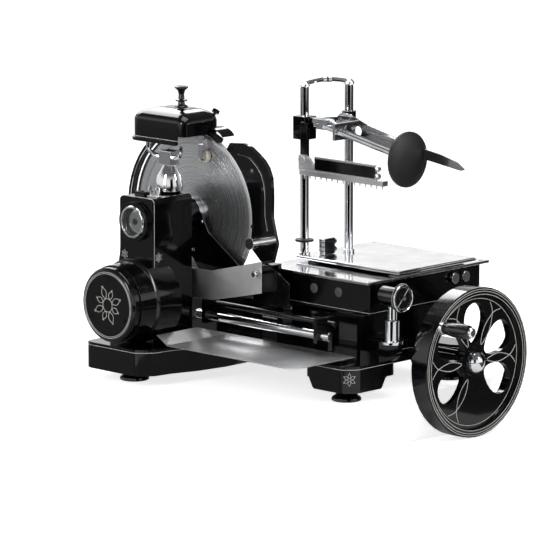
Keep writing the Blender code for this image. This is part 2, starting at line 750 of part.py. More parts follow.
def arch_outline(start, end):
    """A gap under the base's lower edge, rising in an ogee at each end."""
    low = BASE_BOTTOM_Z - OVERRUN
    rise = [
        (SKIRT_EASE * k / 6, BASE_BOTTOM_Z + SKIRT_RISE * (1 - math.cos(math.pi * k / 6)) / 2)
        for k in range(7)
    ]
    points = [(start - SKIRT_EASE / 6, low)]
    points += [(start + along, z) for along, z in rise]
    points += [(end - along, z) for along, z in reversed(rise)]
    return points + [(end + SKIRT_EASE / 6, low)]


def lift_skirt(base):
    """Arches between the feet: one across the front, one at the back, one along each side."""
    reach = FOOT_RADIUS + SKIRT_MARGIN
    right_end = FOOT_RIGHT_X - reach
    front = BASE_FRONT_Y - OVERRUN
    back = BASE_BACK_Y + OVERRUN
    outline = arch_outline(FOOT_FRONT_LEFT_X + reach, right_end)
    cut(base, prism(bmesh.new(), outline, "Y", front, BODY_FRONT_Y + BASE_WALL * 2))
    outline = arch_outline(FOOT_LEFT_X + reach, right_end)
    cut(base, prism(bmesh.new(), outline, "Y", back - COLUMN_FLARE_Y / 2, back))
    start = FOOT_FRONT_Y + reach
    outline = arch_outline(start, FOOT_BACK_Y - reach)
    cut(base, prism(bmesh.new(), outline, "X", BODY_RIGHT_X - BASE_WALL * 2, BASE_RIGHT_X + OVERRUN))
    outline = arch_outline(start, TRAY_BACK_Y - reach / 2)
    cut(base, prism(bmesh.new(), outline, "X", BASE_LEFT_X - OVERRUN, BODY_LEFT_X + BASE_WALL * 2))


def base_fittings(roof):
    """Shaft hanger, carriage ways, gauge pillar, rod brackets and tray rests."""
    mesh = bmesh.new()
    half = HANGER_WIDTH / 2
    low = FLYWHEEL_Z - half
    sides = (FLYWHEEL_X - half, FLYWHEEL_X + half)
    box(mesh, sides, (HANGER_Y, HANGER_Y + HANGER_THICK), (low, roof + SEAT))
    front = BODY_FRONT_Y + SEAT
    back = BASE_BACK_Y - BASE_CORNER - SEAT
    for x in (WAY_LEFT_X, WAY_RIGHT_X):
        box(mesh, (x, x + WAY_WIDTH), (front, back), (BODY_TOP_Z - SEAT, WAY_TOP_Z))
    root = BASE_TOP_Z - OVERRUN
    right = GAUGE_PILLAR_LEFT_X + GAUGE_PILLAR_WIDTH
    depth = (GAUGE_PILLAR_FRONT_Y, GAUGE_PILLAR_BACK_Y)
    box(mesh, (GAUGE_PILLAR_LEFT_X, right), depth, (root, GAUGE_PILLAR_TOP_Z))
    margin = ROD_BRACKET_THICK / 2
    for y in (ROD_BACK_Y - ROD_BRACKET_INSET, ROD_FRONT_Y + ROD_BRACKET_INSET):
        prism(mesh, rod_bracket_outline(root, margin), "Y", y - margin, y + margin)
    half = TRAY_REST_WIDTH / 2
    top = TRAY_Z - TRAY_THICK / 2 - GAP
    for x, y in ((TRAY_REST_X, FOOT_FRONT_Y), (TRAY_REST_X * 2, TRAY_BACK_Y - half)):
        box(mesh, (x - half, x + half), (y - half / 2, y + half / 2), (root, top))
    return mesh


def flywheel_bearing(centre):
    """The long nose in front of the base that carries the flywheel's shaft."""
    nose = FLYWHEEL_FRONT_Y + FLYWHEEL_RIM_DEPTH - HUB_SETBACK + GAP
    step = BASE_RECESS_Y - BOSS_FLANGE
    profile = (
        (BASE_RECESS_Y + SEAT, 0),
        (BASE_RECESS_Y + SEAT, FRONT_BEARING_RADIUS),
        (step, FRONT_BEARING_RADIUS),
        (step - BOSS_FLANGE, FRONT_BEARING_NOSE), (nose, FRONT_BEARING_NOSE), (nose, 0),
    )
    return revolve(bmesh.new(), profile, "Y", centre)


def rod_bracket_outline(low, margin):
    left = ROD_X - ROD_RADIUS - margin
    shelf = ROD_Z - ROD_RADIUS - margin
    foot = BASE_NECK_X + SEAT
    top = ROD_BRACKET_TOP_Z
    right = ROD_BRACKET_RIGHT_X
    return ((foot, low), (right, low), (right, top), (left, top), (left, shelf), (foot, shelf))


def dial_bracket():
    """A quarter round web under the dial's stem."""
    y = DIAL_FACE_Y + DIAL_THICK + DIAL_BARREL_LENGTH / 2
    low = BASE_TOP_Z - SEAT
    height = STEM_FOOT_Z - GAP - low
    back = y + DIAL_BRACKET_LENGTH - STEM_FLANGE_RADIUS
    outline = [(back, low), (back, low + height)]
    reach = DIAL_BRACKET_LENGTH / 2
    for k in range(9):
        turn = math.pi / 2 * k / 8
        along = y - STEM_FLANGE_RADIUS + reach * (1 - math.cos(turn))
        outline.append((along, low + height * (1 - math.sin(turn))))
    left = DIAL_X - DIAL_BRACKET_THICK / 2
    return prism(bmesh.new(), outline, "X", left, left + DIAL_BRACKET_THICK)


def make_feet():
    height = BASE_BOTTOM_Z - GAP
    profile = [(a * height, r * FOOT_RADIUS) for a, r in FOOT_PROFILE_SHARES]
    for name, x, y in (
        ("foot_rear_left", FOOT_LEFT_X, FOOT_REAR_LEFT_Y),
        ("foot_front_left", FOOT_FRONT_LEFT_X, FOOT_FRONT_Y),
        ("foot_front_right", FOOT_RIGHT_X, FOOT_FRONT_Y),
        ("foot_rear_right", FOOT_RIGHT_X, FOOT_BACK_Y),
    ):
        finish(name, revolve(bmesh.new(), profile, "Z", segments=ROUND), BLACK, (x, y, 0))


def column_outline():
    """The column seen from the left, flared towards its back."""
    top = COLUMN_TOP_Z
    low = BASE_TOP_Z + GAP
    front = -COLUMN_HALF_Y
    back = COLUMN_HALF_Y
    points = [(front, low), (COLUMN_FLARE_Y, low), (COLUMN_FLARE_Y, COLUMN_FLARE_Z)]
    for k in range(1, 6):
        share = k / 6
        ease = math.sin(share * math.pi / 2)
        y = COLUMN_FLARE_Y + (back - COLUMN_FLARE_Y) * ease
        points.append((y, COLUMN_FLARE_Z + (COLUMN_WAIST_Z - COLUMN_FLARE_Z) * share))
    points.append((back, COLUMN_WAIST_Z))
    points.extend(rounded_top(back, front, top))
    return points


def rounded_top(back, front, top):
    points = []
    for k in range(5):
        turn = math.pi / 2 * k / 4
        along = back - COLUMN_CORNER * (1 - math.cos(turn))
        points.append((along, top - COLUMN_CORNER * (1 - math.sin(turn))))
    for k in range(5):
        turn = math.pi / 2 * (1 - k / 4)
        along = front + COLUMN_CORNER * (1 - math.cos(turn))
        points.append((along, top - COLUMN_CORNER * (1 - math.sin(turn))))
    return points


def make_column():
    mesh = prism(bmesh.new(), column_outline(), "X", COLUMN_LEFT_X, COLUMN_RIGHT_X)
    column = finish("column_casting", mesh, BLACK)
    drum_seat = cylinder(
        bmesh.new(), "X", COLUMN_LEFT_X - OVERRUN, DRUM_BACK_X + GAP, DRUM_FLANGE_RADIUS + GAP,
        (0, 0, DRUM_AXIS_Z), FINE,
    )
    cut(column, drum_seat)
    inside = box(
        bmesh.new(),
        (COLUMN_LEFT_X + COLUMN_WALL, COLUMN_RIGHT_X - COLUMN_WALL),
        (-COLUMN_HALF_Y + COLUMN_WALL, COLUMN_HALF_Y - COLUMN_WALL),
        (BASE_TOP_Z - OVERRUN, COLUMN_TOP_Z - COLUMN_WALL),
    )
    cut(column, inside)
    bore = cylinder(
        bmesh.new(), "X", COLUMN_LEFT_X - OVERRUN, COLUMN_RIGHT_X + OVERRUN,
        BLADE_SHAFT_RADIUS + GAP, (0, 0, BLADE_AXIS_Z), ROUND,
    )
    cut(column, bore)
    drum_bearing = cylinder(
        bmesh.new(), "X", COLUMN_RIGHT_X - COLUMN_WALL - OVERRUN, COLUMN_RIGHT_X + OVERRUN,
        SHAFT_RADIUS + GAP, (0, 0, DRUM_AXIS_Z),
    )
    cut(column, drum_bearing)
    left = COLUMN_LEFT_X - SIGHT_LENGTH
    sight = tube(
        bmesh.new(), "X", left, COLUMN_LEFT_X + SEAT, SIGHT_RADIUS, BEZEL_RADIUS - BEZEL_WIDTH,
        (0, 0, BLADE_AXIS_Z), FINE,
    )
    join(column, sight)
    plate = box(
        bmesh.new(),
        (OILER_PLATE_LEFT_X, OILER_PLATE_LEFT_X + OILER_PLATE_WIDTH),
        (OILER_PLATE_FRONT_Y, OILER_PLATE_FRONT_Y + OILER_PLATE_DEPTH),
        (COLUMN_TOP_Z - SEAT, COLUMN_TOP_Z + OILER_PLATE_HEIGHT),
    )
    join(column, plate)


def make_drive_housing():
    outer = DRUM_FLANGE_RADIUS
    profile = (
        (DRUM_BACK_X, outer), (DRUM_STEP_X, outer), (DRUM_STEP_X - SEAT, outer - SEAT),
        (DRUM_STEP_X - SEAT * 2, DRUM_RADIUS), (DRUM_FRONT_X, DRUM_RADIUS - SEAT),
        (DRUM_FRONT_X, DRUM_RADIUS - DRUM_WALL), (DRUM_BACK_X, DRUM_RADIUS - DRUM_WALL),
    )
    mesh = revolve(bmesh.new(), profile, "X", segments=FINE, closed=True)
    housing = finish("drive_housing", mesh, BLACK, (0, 0, DRUM_AXIS_Z))
    low_slot = box(
        bmesh.new(),
        (GEAR_X - SEAT * 2, GEAR_X + GEAR_WIDTH + SEAT * 2),
        (-PINION_TIP - SEAT, PINION_TIP + SEAT),
        (-DRUM_AXIS_Z, -DRUM_RADIUS / 2),
    )
    cut(housing, low_slot, (0, 0, DRUM_AXIS_Z))
    high_slot = box(
        bmesh.new(),
        (SPROCKET_X - SEAT, SPROCKET_X + SPROCKET_WIDTH + SEAT),
        (-COLUMN_HALF_Y + COLUMN_WALL, COLUMN_HALF_Y - COLUMN_WALL),
        (DRUM_RADIUS / 2, DRUM_RADIUS * 2),
    )
    cut(housing, high_slot, (0, 0, DRUM_AXIS_Z))


def make_drive_cover():
    back = DRUM_FRONT_X - GAP
    face = back - COVER_THICK
    profile = (
        (back, 0), (back, COVER_RADIUS), (face + COVER_BEAD * 2, COVER_RADIUS),
        (face, COVER_RADIUS - COVER_BEAD * 2), (face - COVER_BEAD, COVER_FACE_RADIUS),
        (face, COVER_FACE_RADIUS - COVER_BEAD), (face - COVER_BEAD / 2, 0),
    )
    mesh = revolve(bmesh.new(), profile, "X", segments=FINE)
    finish("drive_cover", mesh, BLACK, (0, 0, DRUM_AXIS_Z))


def make_sight():
    at = (0, 0, BLADE_AXIS_Z)
    bore = BEZEL_RADIUS - BEZEL_WIDTH
    bezel = COLUMN_LEFT_X - SIGHT_LENGTH - GAP
    profile = (
        (bezel, bore + SEAT), (bezel, BEZEL_RADIUS), (bezel - BEZEL_THICK / 2, BEZEL_RADIUS),
        (bezel - BEZEL_THICK, BEZEL_RADIUS - SEAT), (bezel - BEZEL_THICK, bore + SEAT),
    )
    mesh = revolve(bmesh.new(), profile, "X", segments=FINE, closed=True)
    finish("sight_bezel", mesh, CHROME, at)
    glass = bore + SEAT - GAP
    profile = ((bezel, 0), (bezel, glass), (bezel - GLASS_THICK, glass), (bezel - GLASS_THICK - SEAT, 0))
    finish("sight_glass", revolve(bmesh.new(), profile, "X", segments=ROUND), GLASS, at)


def make_oilers():
    low = COLUMN_TOP_Z + GAP
    sides = (OILER_X - OILER_RADIUS, OILER_X + OILER_RADIUS)
    near = (OILER_Y - OILER_RADIUS, OILER_Y + OILER_PITCH + OILER_RADIUS)
    oilers = finish("column_oilers", box(bmesh.new(), sides, near, (low, low + SEAT)), CHROME)
    profile = [(low + GAP, 0)] + [(low + GAP + a * OILER_HEIGHT, r * OILER_RADIUS) for a, r in OILER_SHARES]
    profile.append((low + GAP + OILER_HEIGHT, 0))
    cups = bmesh.new()
    for k in range(2):
        revolve(cups, profile, "Z", (OILER_X, OILER_Y + k * OILER_PITCH, 0), TINY)
    join(oilers, cups)


def make_blade_boss():
    start = COLUMN_RIGHT_X + GAP
    end = -BLADE_THICK - BLADE_HUB_LENGTH - GAP * 2
    bore = BLADE_SHAFT_RADIUS + GAP
    neck = BOSS_RADIUS * BOSS_NECK_SHARE
    profile = (
        (start, bore), (start, BOSS_RADIUS), (start + BOSS_FLANGE, BOSS_RADIUS),
        (start + BOSS_FLANGE * 2, neck), (end, neck), (end, bore),
    )
    mesh = revolve(bmesh.new(), profile, "X", segments=ROUND, closed=True)
    finish("blade_boss", mesh, BLACK, (0, 0, BLADE_AXIS_Z))


def make_guard_ring():
    steps = 24
    outline = arc(GUARD_OUTER_RADIUS, GUARD_START_DEG, GUARD_END_DEG, steps)
    outline += arc(GUARD_INNER_RADIUS, GUARD_END_DEG, GUARD_START_DEG, steps)
    back = GUARD_FACE_X - GUARD_DEPTH
    at = (0, 0, BLADE_AXIS_Z)
    ring = finish("guard_ring", prism(bmesh.new(), outline, "X", back, GUARD_FACE_X), BLACK, at)
    half = GUARD_BRACKET / 2
    y, z = arc(GUARD_INNER_RADIUS + GUARD_WIDTH / 2, GUARD_END_DEG, GUARD_END_DEG, 1)[0]
    across = (COLUMN_RIGHT_X + GAP, back + SEAT)
    join(ring, box(bmesh.new(), across, (y - half, y + half), (z - half, z + half)), at)


def make_rods():
    front, back = ROD_FRONT_Y, ROD_BACK_Y
    mesh = cylinder(bmesh.new(), "Y", front, back, ROD_RADIUS, (ROD_X, 0, ROD_Z))
    finish("guide_rod_lower", mesh, CHROME)
    mesh = cylinder(bmesh.new(), "Y", front, back, ROD_UPPER_RADIUS, (ROD_UPPER_X, 0, ROD_Z + ROD_RISE))
    finish("guide_rod_upper", mesh, DARK_STEEL)


def make_tray():
    """A thin tray whose back end ramps up and whose front corner is round."""
    outline = [(TRAY_RIGHT_X, TRAY_FRONT_Y), (TRAY_RIGHT_X, TRAY_BACK_Y), (TRAY_LEFT_X, TRAY_BACK_Y)]
    for k in range(7):
        turn = math.pi / 2 * k / 6
        x = TRAY_LEFT_X + TRAY_CORNER * (1 - math.cos(turn))
        y = TRAY_FRONT_Y + TRAY_CORNER * (1 - math.sin(turn))
        outline.append((x, y))
    mesh = bmesh.new()
    flat = [mesh.verts.new((x, y, TRAY_Z)) for x, y in outline]
    mesh.faces.new(flat)
    ramp_z = TRAY_Z + TRAY_RAMP_RISE
    lip = [mesh.verts.new((x, TRAY_RAMP_Y, ramp_z)) for x in (TRAY_LEFT_X, TRAY_RAMP_RIGHT_X)]
    mesh.faces.new((flat[2], flat[1], lip[1], lip[0]))
    tray = finish("slice_tray", mesh, STEEL, angle=20)
    wall = tray.modifiers.new("Solidify", "SOLIDIFY")
    wall.thickness = TRAY_THICK
    wall.offset = 0


def make_catch_plates():
    """Two panels folded along an upright line in front of the tray."""
    mesh = bmesh.new()
    fold_low = mesh.verts.new((CATCH_FOLD_X, CATCH_FOLD_Y, CATCH_LOW_Z))
    fold_high = mesh.verts.new((CATCH_FOLD_X, CATCH_FOLD_Y, CATCH_HIGH_Z))
    left = [mesh.verts.new((CATCH_LEFT_X, CATCH_LEFT_Y, z)) for z in (CATCH_LOW_Z, CATCH_HIGH_Z)]
    x, y = CATCH_RIGHT_X, CATCH_RIGHT_Y
    right = [mesh.verts.new((x, y, z)) for z in (CATCH_RIGHT_LOW_Z, CATCH_RIGHT_HIGH_Z)]
    mesh.faces.new((left[0], fold_low, fold_high, left[1]))
    mesh.faces.new((fold_low, right[0], right[1], fold_high))
    plate = finish("catch_plate", mesh, STEEL, angle=5)
    wall = plate.modifiers.new("Solidify", "SOLIDIFY")
    wall.thickness = CATCH_THICK
    wall.offset = 0


def make_deflector():
    at = (0, 0, BLADE_AXIS_Z)
    outline = rounded(blade_plane(LEAF_OUTLINE_SHARES), LEAF_CORNER, 3)
    mesh = prism(bmesh.new(), outline, "X", LEAF_X - LEAF_THICK, LEAF_X)
    leaf = finish("deflector_leaf", mesh, DARK_STEEL, at)
    hole = BOSS_RADIUS * BOSS_NECK_SHARE + GAP
    cut(leaf, cylinder(bmesh.new(), "X", LEAF_X - OVERRUN * 2, LEAF_X + OVERRUN, hole, segments=ROUND), at)


def catch_x(y):
    """Where the right catch panel stands at a depth."""
    share = (y - CATCH_FOLD_Y) / (CATCH_RIGHT_Y - CATCH_FOLD_Y)
    return CATCH_FOLD_X + (CATCH_RIGHT_X - CATCH_FOLD_X) * share


def make_side_plate():
    right = GAUGE_PILLAR_LEFT_X - GAP
    left = right - SIDE_PLATE_THICK
    mesh = prism(bmesh.new(), blade_plane(SIDE_PLATE_OUTLINE_SHARES), "X", left, right)
    plate = finish("side_plate", mesh, DARK_STEEL, (0, 0, BLADE_AXIS_Z))
    at = (0, KNOB_Y, KNOB_Z)
    start = catch_x(KNOB_Y) + CATCH_THICK
    join(plate, cylinder(bmesh.new(), "X", start, left + SEAT, KNOB_STEM_RADIUS), at)
    outer = catch_x(KNOB_Y) - CATCH_THICK
    neck = outer - KNOB_STEM_LENGTH
    end = neck - KNOB_HEAD
    profile = (
        (outer, 0), (outer, KNOB_STEM_RADIUS), (neck, KNOB_STEM_RADIUS), (neck, KNOB_HEAD_RADIUS),
        (end + SEAT, KNOB_HEAD_RADIUS), (end, KNOB_HEAD_RADIUS - SEAT), (end, 0),
    )
    finish("catch_knob", revolve(bmesh.new(), profile, "X", segments=SMALL), CHROME, at)


def make_gauge():
    at = (0, 0, BLADE_AXIS_Z)
    outline = blade_plane(GAUGE_OUTLINE_SHARES)
    outline += arc(GUARD_INNER_RADIUS, GAUGE_ARC_END_DEG, GAUGE_ARC_START_DEG, 18)
    right = -GAP
    mesh = prism(bmesh.new(), outline, "X", right - GAUGE_THICK, right)
    plate = finish("gauge_plate", mesh, BLACK, at, angle=30)
    low = BLADE_AXIS_Z + min(up for _, up in GAUGE_OUTLINE_SHARES) * BLADE_RADIUS + SEAT
    pillar_right = GAUGE_PILLAR_LEFT_X + GAUGE_PILLAR_WIDTH
    foot_low = GAUGE_PILLAR_TOP_Z + GAP
    inner = pillar_right - GAUGE_FOOT_WIDTH
    lip = low - GAUGE_FOOT_LIP
    outline = (
        (right - GAUGE_THICK, low), (right - GAUGE_THICK, lip), (inner, lip),
        (inner, foot_low), (pillar_right, foot_low), (pillar_right, low),
    )
    inset = OVERRUN
    join(plate, prism(bmesh.new(), outline, "Y", GAUGE_PILLAR_FRONT_Y + inset, GAUGE_PILLAR_BACK_Y - inset))
    start = right - GAUGE_THICK - GAP
    end = start - GAUGE_HANDLE_LENGTH
    cap = end + GAUGE_HANDLE_CAP
    at = (0, GAUGE_HANDLE_Y, GAUGE_HANDLE_Z)
    rim = GAUGE_HANDLE_RADIUS + SEAT
    profile = (
        (start, 0), (start, GAUGE_HANDLE_RADIUS), (cap, GAUGE_HANDLE_RADIUS), (cap, rim),
        (end + SEAT, rim), (end, rim - SEAT), (end, 0),
    )
    finish("gauge_handle", revolve(bmesh.new(), profile, "X", segments=SMALL), CHROME, at)


def make_dial():
    y = DIAL_FACE_Y + DIAL_THICK + DIAL_BARREL_LENGTH / 2
    foot = STEM_FOOT_Z
    flange = foot + STEM_FLANGE_THICK
    top = DIAL_Z - DIAL_BARREL_RADIUS - GAP
    profile = (
        (foot, 0), (foot, STEM_FLANGE_RADIUS), (flange, STEM_FLANGE_RADIUS), (flange, STEM_LOW_RADIUS),
        (STEM_STEP_Z, STEM_LOW_RADIUS), (STEM_STEP_Z + SEAT, STEM_HIGH_RADIUS),
        (top, STEM_HIGH_RADIUS), (top, 0),
    )
    finish("dial_stem", revolve(bmesh.new(), profile, "Z", segments=ROUND), CHROME, (DIAL_X, y, 0))
    at = (DIAL_X, DIAL_FACE_Y, DIAL_Z)
    start = DIAL_THICK + GAP
    end = start + DIAL_BARREL_LENGTH
    profile = ((start, 0), (start, DIAL_BARREL_RADIUS), (end, DIAL_BARREL_RADIUS), (end, 0))
    finish("dial_barrel", revolve(bmesh.new(), profile, "Y", segments=ROUND), DARK_STEEL, at)
    profile = (
        (DIAL_THICK, 0), (DIAL_THICK, DIAL_RADIUS), (SEAT, DIAL_RADIUS), (0, DIAL_RADIUS - SEAT),
        (0, DIAL_RADIUS - SEAT * 2), (SEAT / 2, DIAL_RADIUS - SEAT * 2), (SEAT / 2, DIAL_SCREW_RADIUS),
        (-DIAL_SCREW_HEIGHT, DIAL_SCREW_RADIUS), (-DIAL_SCREW_HEIGHT, 0),
    )
    finish("thickness_dial", revolve(bmesh.new(), profile, "Y", segments=ROUND), CHROME, at)


def hood_outline(inset=0):
    left, right = HOOD_LEFT_X + inset, HOOD_RIGHT_X - inset
    front, back = HOOD_FRONT_Y + inset, HOOD_BACK_Y - inset
    outline = ((left, front), (right, front), (right, back), (left, back))
    return rounded(outline, HOOD_CORNER - inset, 4)


def dome(mesh, inset, low):
    """A rounded cap: a straight skirt, then rings that draw in towards the crown."""
    base = hood_outline(inset)
    middle = (HOOD_CROWN_X, HOOD_CROWN_Y)
    shoulder = HOOD_SHOULDER_Z - inset
    levels = [(low, 1.0), (shoulder, 1.0)]
    for k in range(1, HOOD_ROWS):
        turn = math.pi / 2 * k / HOOD_ROWS
        height = shoulder + (HOOD_DOME - inset / 2) * math.sin(turn)
        levels.append((height, math.cos(turn) ** HOOD_DRAW_POWER))
    rings = []
    for z, share in levels:
        rings.append([
            mesh.verts.new((middle[0] + (x - middle[0]) * share, middle[1] + (y - middle[1]) * share, z))
            for x, y in base
        ])
    for near, far in zip(rings, rings[1:]):
        bridge(mesh, near, far)
    mesh.faces.new(rings[0])
    mesh.faces.new(rings[-1])
    return mesh


def make_hood():
    hood = finish("sharpener_hood", dome(bmesh.new(), 0, HOOD_BOTTOM_Z), BLACK)
    lip_top = HOOD_BOTTOM_Z + HOOD_LIP_HEIGHT
    join(hood, prism(bmesh.new(), hood_outline(-HOOD_LIP), "Z", HOOD_BOTTOM_Z, lip_top))
    low = HOOD_BOTTOM_Z - OVERRUN
    cut(hood, dome(bmesh.new(), HOOD_WALL, low))
    margin = HOOD_LIP + OVERRUN
    front = HOOD_FRONT_Y - margin
    sides = (HOOD_LEFT_X - margin, HOOD_RIGHT_X + margin)
    cut(hood, box(bmesh.new(), sides, (front, HOOD_FRONT_Y + HOOD_CORNER), (low, HOOD_FRONT_LOW_Z)))
    sides = (HOOD_SLOT_LEFT_X, HOOD_SLOT_RIGHT_X)
    cut(hood, box(bmesh.new(), sides, (front, HOOD_BACK_Y + margin), (low, HOOD_SLOT_TOP_Z)))
    at = (HOOD_CROWN_X, HOOD_CROWN_Y, 0)
    high = HOOD_SHOULDER_Z + HOOD_DOME + OVERRUN
    cut(hood, cylinder(bmesh.new(), "Z", HOOD_SHOULDER_Z, high, STONE_SPINDLE_RADIUS + GAP, at))


def make_pedestal():
    """Bell and yoke on the column. The yoke's two arms carry the hood."""
    low = COLUMN_TOP_Z + GAP
    profile = [(low + a * BELL_HEIGHT, r * BELL_RADIUS) for a, r in BELL_PROFILE_SHARES]
    finish("sharpener_bell", revolve(bmesh.new(), profile, "Z", segments=ROUND), STEEL, (BELL_X, 0, 0))
    low += BELL_HEIGHT + GAP
    half = BLOCK_WIDTH / 2
    depth = BLOCK_DEPTH / 2
    mesh = box(bmesh.new(), (BELL_X - half, BELL_X + half), (-depth, depth), (low, low + BLOCK_HEIGHT))
    block = bevel(finish("sharpener_yoke", mesh, CHROME), SEAT)
    start = low + BLOCK_HEIGHT / 2
    top = HOOD_BOTTOM_Z - GAP
    bend = top - ARM_RADIUS * 2
    mesh = bmesh.new()
    for side in (-1, 1):
        points = [(BELL_X, side * (depth - SEAT), start)]
        for k in range(1, 7):
            turn = math.pi / 2 * k / 6
            x = BELL_X + (HOOD_LEFT_X - BELL_X) * math.sin(turn)
            y = side * (depth + (ARM_REACH_Y - depth) * math.sin(turn))
            points.append((x, y, start + (bend - start) * (1 - math.cos(turn))))
        points.append((HOOD_LEFT_X, side * ARM_REACH_Y, top))
        sweep(mesh, points, ARM_RADIUS)
    join(block, mesh)


def make_stones():
    """A carrier under the crown with one stone on each side of the blade."""
    x = HOOD_CROWN_X
    top = HOOD_SHOULDER_Z
    low = top - CARRIER_THICK
    half = STONE_RADIUS / 2
    back = STONE_RIGHT_Y + half
    mesh = box(bmesh.new(), (x - half, x + half), (STONE_LEFT_Y - half, back), (low, top))
    carrier = finish("stone_carrier", mesh, CHROME)
    post_right = GUARD_FACE_X - GUARD_DEPTH - GAP * 2
    left_side = (post_right - CARRIER_THICK, post_right)
    post = (STONE_LEFT_Y - half + GAP, STONE_LEFT_Y + half - GAP)
    join(carrier, box(bmesh.new(), left_side, post, (STONE_LEFT_Z - half, top - SEAT)))
    left_x = -BLADE_THICK - STONE_CLEAR - STONE_THICK
    centre = (0, STONE_LEFT_Y, STONE_LEFT_Z)
    stub = cylinder(bmesh.new(), "X", post_right - SEAT, left_x - GAP, STONE_SPINDLE_RADIUS, centre, TINY)
    join(carrier, stub)
    right_x = STONE_CLEAR + STONE_THICK + GAP
    arm = (STONE_RIGHT_Y - half + GAP, back - GAP)
    join(carrier, box(bmesh.new(), (x, right_x + CARRIER_THICK), arm, (low + GAP, top - GAP)))
    drop = (arm[0] + GAP, arm[1] - GAP)
    right_side = (right_x, right_x + CARRIER_THICK - GAP)
    join(carrier, box(bmesh.new(), right_side, drop, (STONE_RIGHT_Z - half, top - SEAT)))
    for name, start, y, z in (
        ("stone_left", left_x, STONE_LEFT_Y, STONE_LEFT_Z),
        ("stone_right", STONE_CLEAR, STONE_RIGHT_Y, STONE_RIGHT_Z),
    ):
        end = start + STONE_THICK
        profile = (
            (start, 0), (start, STONE_RADIUS - SEAT), (start + SEAT, STONE_RADIUS),
            (end, STONE_RADIUS), (end, 0),
        )
        finish(name, revolve(bmesh.new(), profile, "X", segments=SMALL), STONE, (0, y, z))


def make_finial():
    low = HOOD_CROWN_Z + GAP
    stem = HOOD_SHOULDER_Z + GAP - low
    profile = [(stem, 0), (stem, STONE_SPINDLE_RADIUS), (0, STONE_SPINDLE_RADIUS)]
    profile += [(a * FINIAL_HEIGHT, r * FINIAL_RADIUS) for a, r in FINIAL_SHARES]
    profile.append((FINIAL_HEIGHT, 0))
    mesh = revolve(bmesh.new(), profile, "Z", segments=ROUND)
    finish("hood_finial", mesh, GRIP, (HOOD_CROWN_X, HOOD_CROWN_Y, low))


def make_flywheel():
    at = (FLYWHEEL_X, FLYWHEEL_FRONT_Y, FLYWHEEL_Z)
    bore = SHAFT_RADIUS + GAP
    inner = FLYWHEEL_RADIUS - FLYWHEEL_RIM_WALL
    web_front = FLYWHEEL_WEB_SETBACK
    web_back = web_front + FLYWHEEL_WEB_THICK
    hub_back = FLYWHEEL_RIM_DEPTH - HUB_SETBACK
    depth = FLYWHEEL_RIM_DEPTH
    profile = (
        (HUB_SETBACK, bore), (HUB_SETBACK, FLYWHEEL_HUB_RADIUS), (web_front, FLYWHEEL_HUB_RADIUS),
        (web_front, inner), (0, inner + SEAT), (0, FLYWHEEL_RADIUS - SEAT), (SEAT, FLYWHEEL_RADIUS),
        (depth - SEAT, FLYWHEEL_RADIUS), (depth, FLYWHEEL_RADIUS - SEAT), (depth, inner),
        (web_back, inner), (web_back, FLYWHEEL_HUB_RADIUS), (hub_back, FLYWHEEL_HUB_RADIUS),
        (hub_back, bore),
    )
    mesh = revolve(bmesh.new(), profile, "Y", segments=FINE, closed=True)
    wheel = finish("flywheel", mesh, BLACK, at)
    holes = bmesh.new()
    for k in range(PETAL_COUNT):
        angle = PETAL_FIRST_DEG + k * 360 / PETAL_COUNT
        if angle != PETAL_SOLID_DEG:
            prism(holes, petal(math.radians(angle)), "Y", web_front - OVERRUN, web_back + OVERRUN)
    cut(wheel, holes, at)
    x, z = grip_offset()
    bolt = cylinder(bmesh.new(), "Y", -OVERRUN, GRIP_BOLT + SEAT, SPINDLE_RADIUS + GAP, (x, 0, z))
    cut(wheel, bolt, at)


def petal(angle):
    """An oval opening, widest past its middle, along a spoke direction."""
    points = []
    steps = PETAL_STEPS * 4
    length = (PETAL_END_RADIUS - PETAL_START_RADIUS) / 2
    middle = PETAL_START_RADIUS + length
    for k in range(steps):
        turn = math.tau * (k + 0.5) / steps
        along = middle + length * math.cos(turn)
        across = PETAL_HALF_WIDTH * math.sin(turn) * (along / middle) ** 0.5
        points.append((
            along * math.cos(angle) - across * math.sin(angle),
            along * math.sin(angle) + across * math.cos(angle),
        ))
    return points


def grip_offset():
    turn = math.radians(GRIP_ANGLE_DEG)
    return (GRIP_ORBIT * math.cos(turn), GRIP_ORBIT * math.sin(turn))


